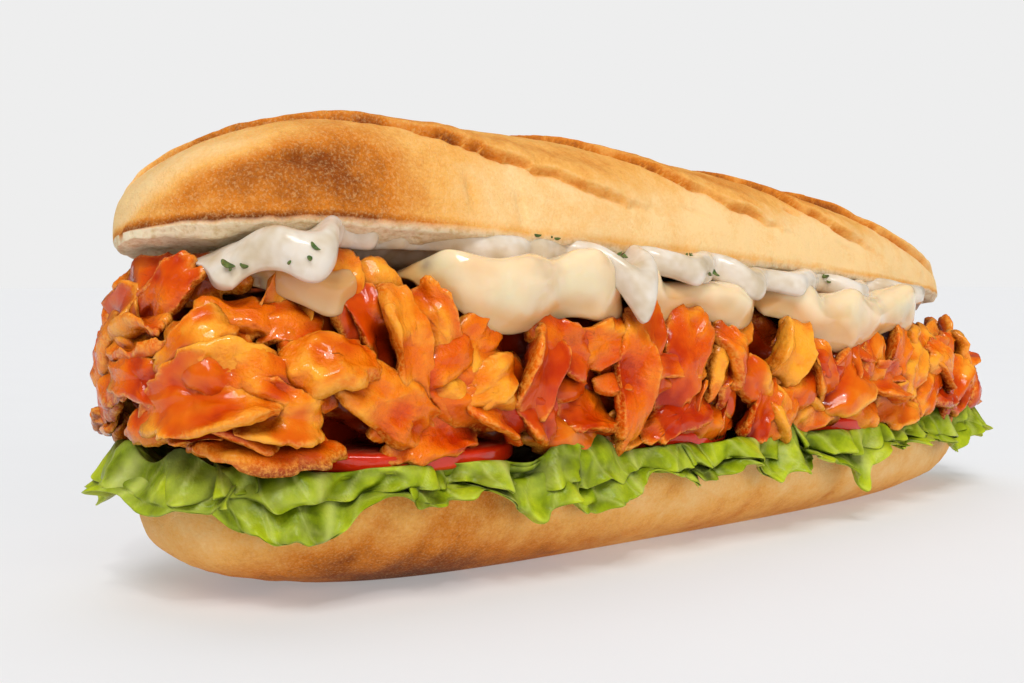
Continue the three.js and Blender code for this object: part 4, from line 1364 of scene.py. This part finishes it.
class SandwichColours(bpy.types.PropertyGroup):
    crust_pale: colour_setting("Pale crust", "The sides and the blisters, which baked least", "#F8D092")
    crust_gold: colour_setting("Golden crust", "Most of the crust", "#EFAE58")
    crust_amber: colour_setting("Amber crust", "Crust on top of the dome", "#D27A20")
    # Also the painted shade of the strip along the lid's lower rim
    crust_brown: colour_setting("Brown crust", "Crust at the left end and along the rim", "#8E450E")
    crust_dark: colour_setting("Dark crust", "The darkest spots of the crust", "#62300D")
    crumb: colour_setting("Crumb", "The cut faces of the roll", "#F3DFBC")
    crumb_shade: colour_setting("Crumb in its pores", "Inside the pores of the cut faces", "#DDBE8E")
    lettuce: colour_setting("Lettuce", "Most of each leaf", "#7E9200")
    # Darker patches of the leaf, and also the painted shade where leaves lie close
    lettuce_deep: colour_setting("Deep lettuce", "Darker patches and hollows of each leaf", "#243A00")
    lettuce_light: colour_setting("Light lettuce", "Lighter patches and the hem of each leaf", "#BCC820")
    lettuce_rib: colour_setting("Lettuce rib", "Ribs and veins", "#D2D878")
    tomato: colour_setting("Tomato", "The slices' cut faces", "#EC3A18")
    tomato_flesh: colour_setting("Tomato flesh", "Paler flesh of the slices", "#F57A55")
    tomato_skin: colour_setting("Tomato skin", "The slices' rims", "#E2330E")
    chicken: colour_setting("Chicken", "Glazed chicken", "#DE5402")
    chicken_orange: colour_setting("Orange chicken", "Chicken where the glaze is thinner", "#EC7608")
    chicken_pale: colour_setting("Pale chicken", "Chicken where little glaze stuck", "#FBA62C")
    chicken_red: colour_setting("Red sauce", "Hot sauce pooled in the hollows", "#B62A00")
    # Painted shade for the gaps between the chicken pieces and their undersides
    chicken_deep: colour_setting("Sauce in the gaps", "Dark sauce deep between the pieces", "#621200")
    chicken_rim: colour_setting("Torn rim", "Torn edges of the chicken", "#F8AC44")
    cheese: colour_setting("Cheese", "Melted cheese", "#F5DAB2")
    # Painted shade in the cheese's low hollows
    cheese_deep: colour_setting("Deep cheese", "Thicker parts of the cheese", "#DFA869")
    cheese_thin: colour_setting("Cheese hem", "The melted hem of the cheese", "#EFD0A2")
    white_sauce_light: colour_setting("White sauce", "The creamy sauce", "#E4D9CA")
    white_sauce_deep: colour_setting("Deep white sauce", "Darker patches of the creamy sauce", "#CFBC9F")
    herb_light: colour_setting("Herb", "Herb flecks", "#5C7434")
    herb_deep: colour_setting("Dark herb", "Darker side of the herb flecks", "#33481C")


class SandwichSizes(bpy.types.PropertyGroup):
    cheese_thick: length_setting("Cheese thickness", "Thickness of the melted cheese", 3.0)
    sauce_thick: length_setting("Sauce thickness", "Thickness of the creamy sauce", 3.6)
    leaf_thick: length_setting("Leaf thickness", "Thickness of a lettuce leaf", 0.9)
    tomato_thick: length_setting("Tomato thickness", "Thickness of a tomato slice", 5.4)


class Finishes:
    """The materials of the food, each made once from the user's colours."""

    def __init__(self, colours):
        self.colours = colours

    def __getattr__(self, name):
        builder, made_name = BUILDERS[name]
        return bpy.data.materials.get(made_name) or builder(self.colours)


BUILDERS = {
    "crust": (crust_material, "wheat_crust_baked"),
    "lettuce": (lettuce_material, "curled_lettuce_fresh"),
    "tomato": (tomato_material, "ripe_tomato_cut"),
    "chicken": (chicken_material, "glazed_chicken_braised"),
    "cheese": (cheese_material, "young_cheese_melted"),
    "white_sauce": (white_sauce_material, "mayonnaise_spread"),
    "herb": (herb_material, "chopped_herb"),
}


class SANDWICH_OT_bread(bpy.types.Operator):
    """Builds the two crusty halves of the roll"""

    bl_idname = "sandwich.bread"
    bl_label = "Bread"

    def execute(self, context):
        finishes = Finishes(context.scene.sandwich_colours)
        make_heel(finishes)
        make_lid(finishes)
        return {"FINISHED"}


class SANDWICH_OT_lettuce(bpy.types.Operator):
    """Builds the ruffled lettuce leaves round the lower half"""

    bl_idname = "sandwich.lettuce"
    bl_label = "Lettuce"

    def execute(self, context):
        make_lettuce(Finishes(context.scene.sandwich_colours), context.scene.sandwich_sizes)
        return {"FINISHED"}


class SANDWICH_OT_tomatoes(bpy.types.Operator):
    """Builds the tomato slices under the chicken"""

    bl_idname = "sandwich.tomatoes"
    bl_label = "Tomato slices"

    def execute(self, context):
        make_tomatoes(Finishes(context.scene.sandwich_colours), context.scene.sandwich_sizes)
        return {"FINISHED"}


class SANDWICH_OT_chicken(bpy.types.Operator):
    """Builds the heap of torn, sauced chicken"""

    bl_idname = "sandwich.chicken"
    bl_label = "Chicken"

    def execute(self, context):
        make_chicken(Finishes(context.scene.sandwich_colours))
        return {"FINISHED"}


class SANDWICH_OT_cheese(bpy.types.Operator):
    """Builds the melted cheese over the chicken"""

    bl_idname = "sandwich.cheese"
    bl_label = "Melted cheese"

    def execute(self, context):
        make_cheese(Finishes(context.scene.sandwich_colours), context.scene.sandwich_sizes)
        return {"FINISHED"}


class SANDWICH_OT_white_sauce(bpy.types.Operator):
    """Builds the creamy sauce with its drips and herb flecks"""

    bl_idname = "sandwich.white_sauce"
    bl_label = "White herb sauce"

    def execute(self, context):
        finishes = Finishes(context.scene.sandwich_colours)
        make_sauce(finishes, context.scene.sandwich_sizes)
        make_flecks(finishes, context.scene.sandwich_sizes)
        return {"FINISHED"}


class SANDWICH_OT_stage(bpy.types.Operator):
    """Builds the floor, the light and the camera"""

    bl_idname = "sandwich.stage"
    bl_label = "Stage"

    def execute(self, context):
        make_stage()
        return {"FINISHED"}


STEPS = (
    SANDWICH_OT_bread,
    SANDWICH_OT_lettuce,
    SANDWICH_OT_tomatoes,
    SANDWICH_OT_chicken,
    SANDWICH_OT_cheese,
    SANDWICH_OT_white_sauce,
    SANDWICH_OT_stage,
)


class SANDWICH_PT_panel(bpy.types.Panel):
    """Lists the steps, the sizes and the colours"""

    bl_idname = "SANDWICH_PT_panel"
    bl_label = "Submarine sandwich"
    bl_space_type = "VIEW_3D"
    bl_region_type = "UI"
    bl_category = "Sandwich"

    def draw(self, context):
        for step in STEPS:
            self.layout.operator(step.bl_idname)
        for settings in (context.scene.sandwich_sizes, context.scene.sandwich_colours):
            for name in settings.bl_rna.properties.keys():
                if name not in ("rna_type", "name"):
                    self.layout.prop(settings, name)


CLASSES = (SandwichColours, SandwichSizes, *STEPS, SANDWICH_PT_panel)


def register():
    for each in CLASSES:
        bpy.utils.register_class(each)
    bpy.types.Scene.sandwich_colours = bpy.props.PointerProperty(type=SandwichColours)
    bpy.types.Scene.sandwich_sizes = bpy.props.PointerProperty(type=SandwichSizes)


def unregister():
    del bpy.types.Scene.sandwich_sizes
    del bpy.types.Scene.sandwich_colours
    for each in reversed(CLASSES):
        bpy.utils.unregister_class(each)


def main():
    register()
    bpy.ops.sandwich.bread()
    bpy.ops.sandwich.lettuce()
    bpy.ops.sandwich.tomatoes()
    bpy.ops.sandwich.chicken()
    bpy.ops.sandwich.cheese()
    bpy.ops.sandwich.white_sauce()
    bpy.ops.sandwich.stage()


if __name__ == "__main__":
    main()
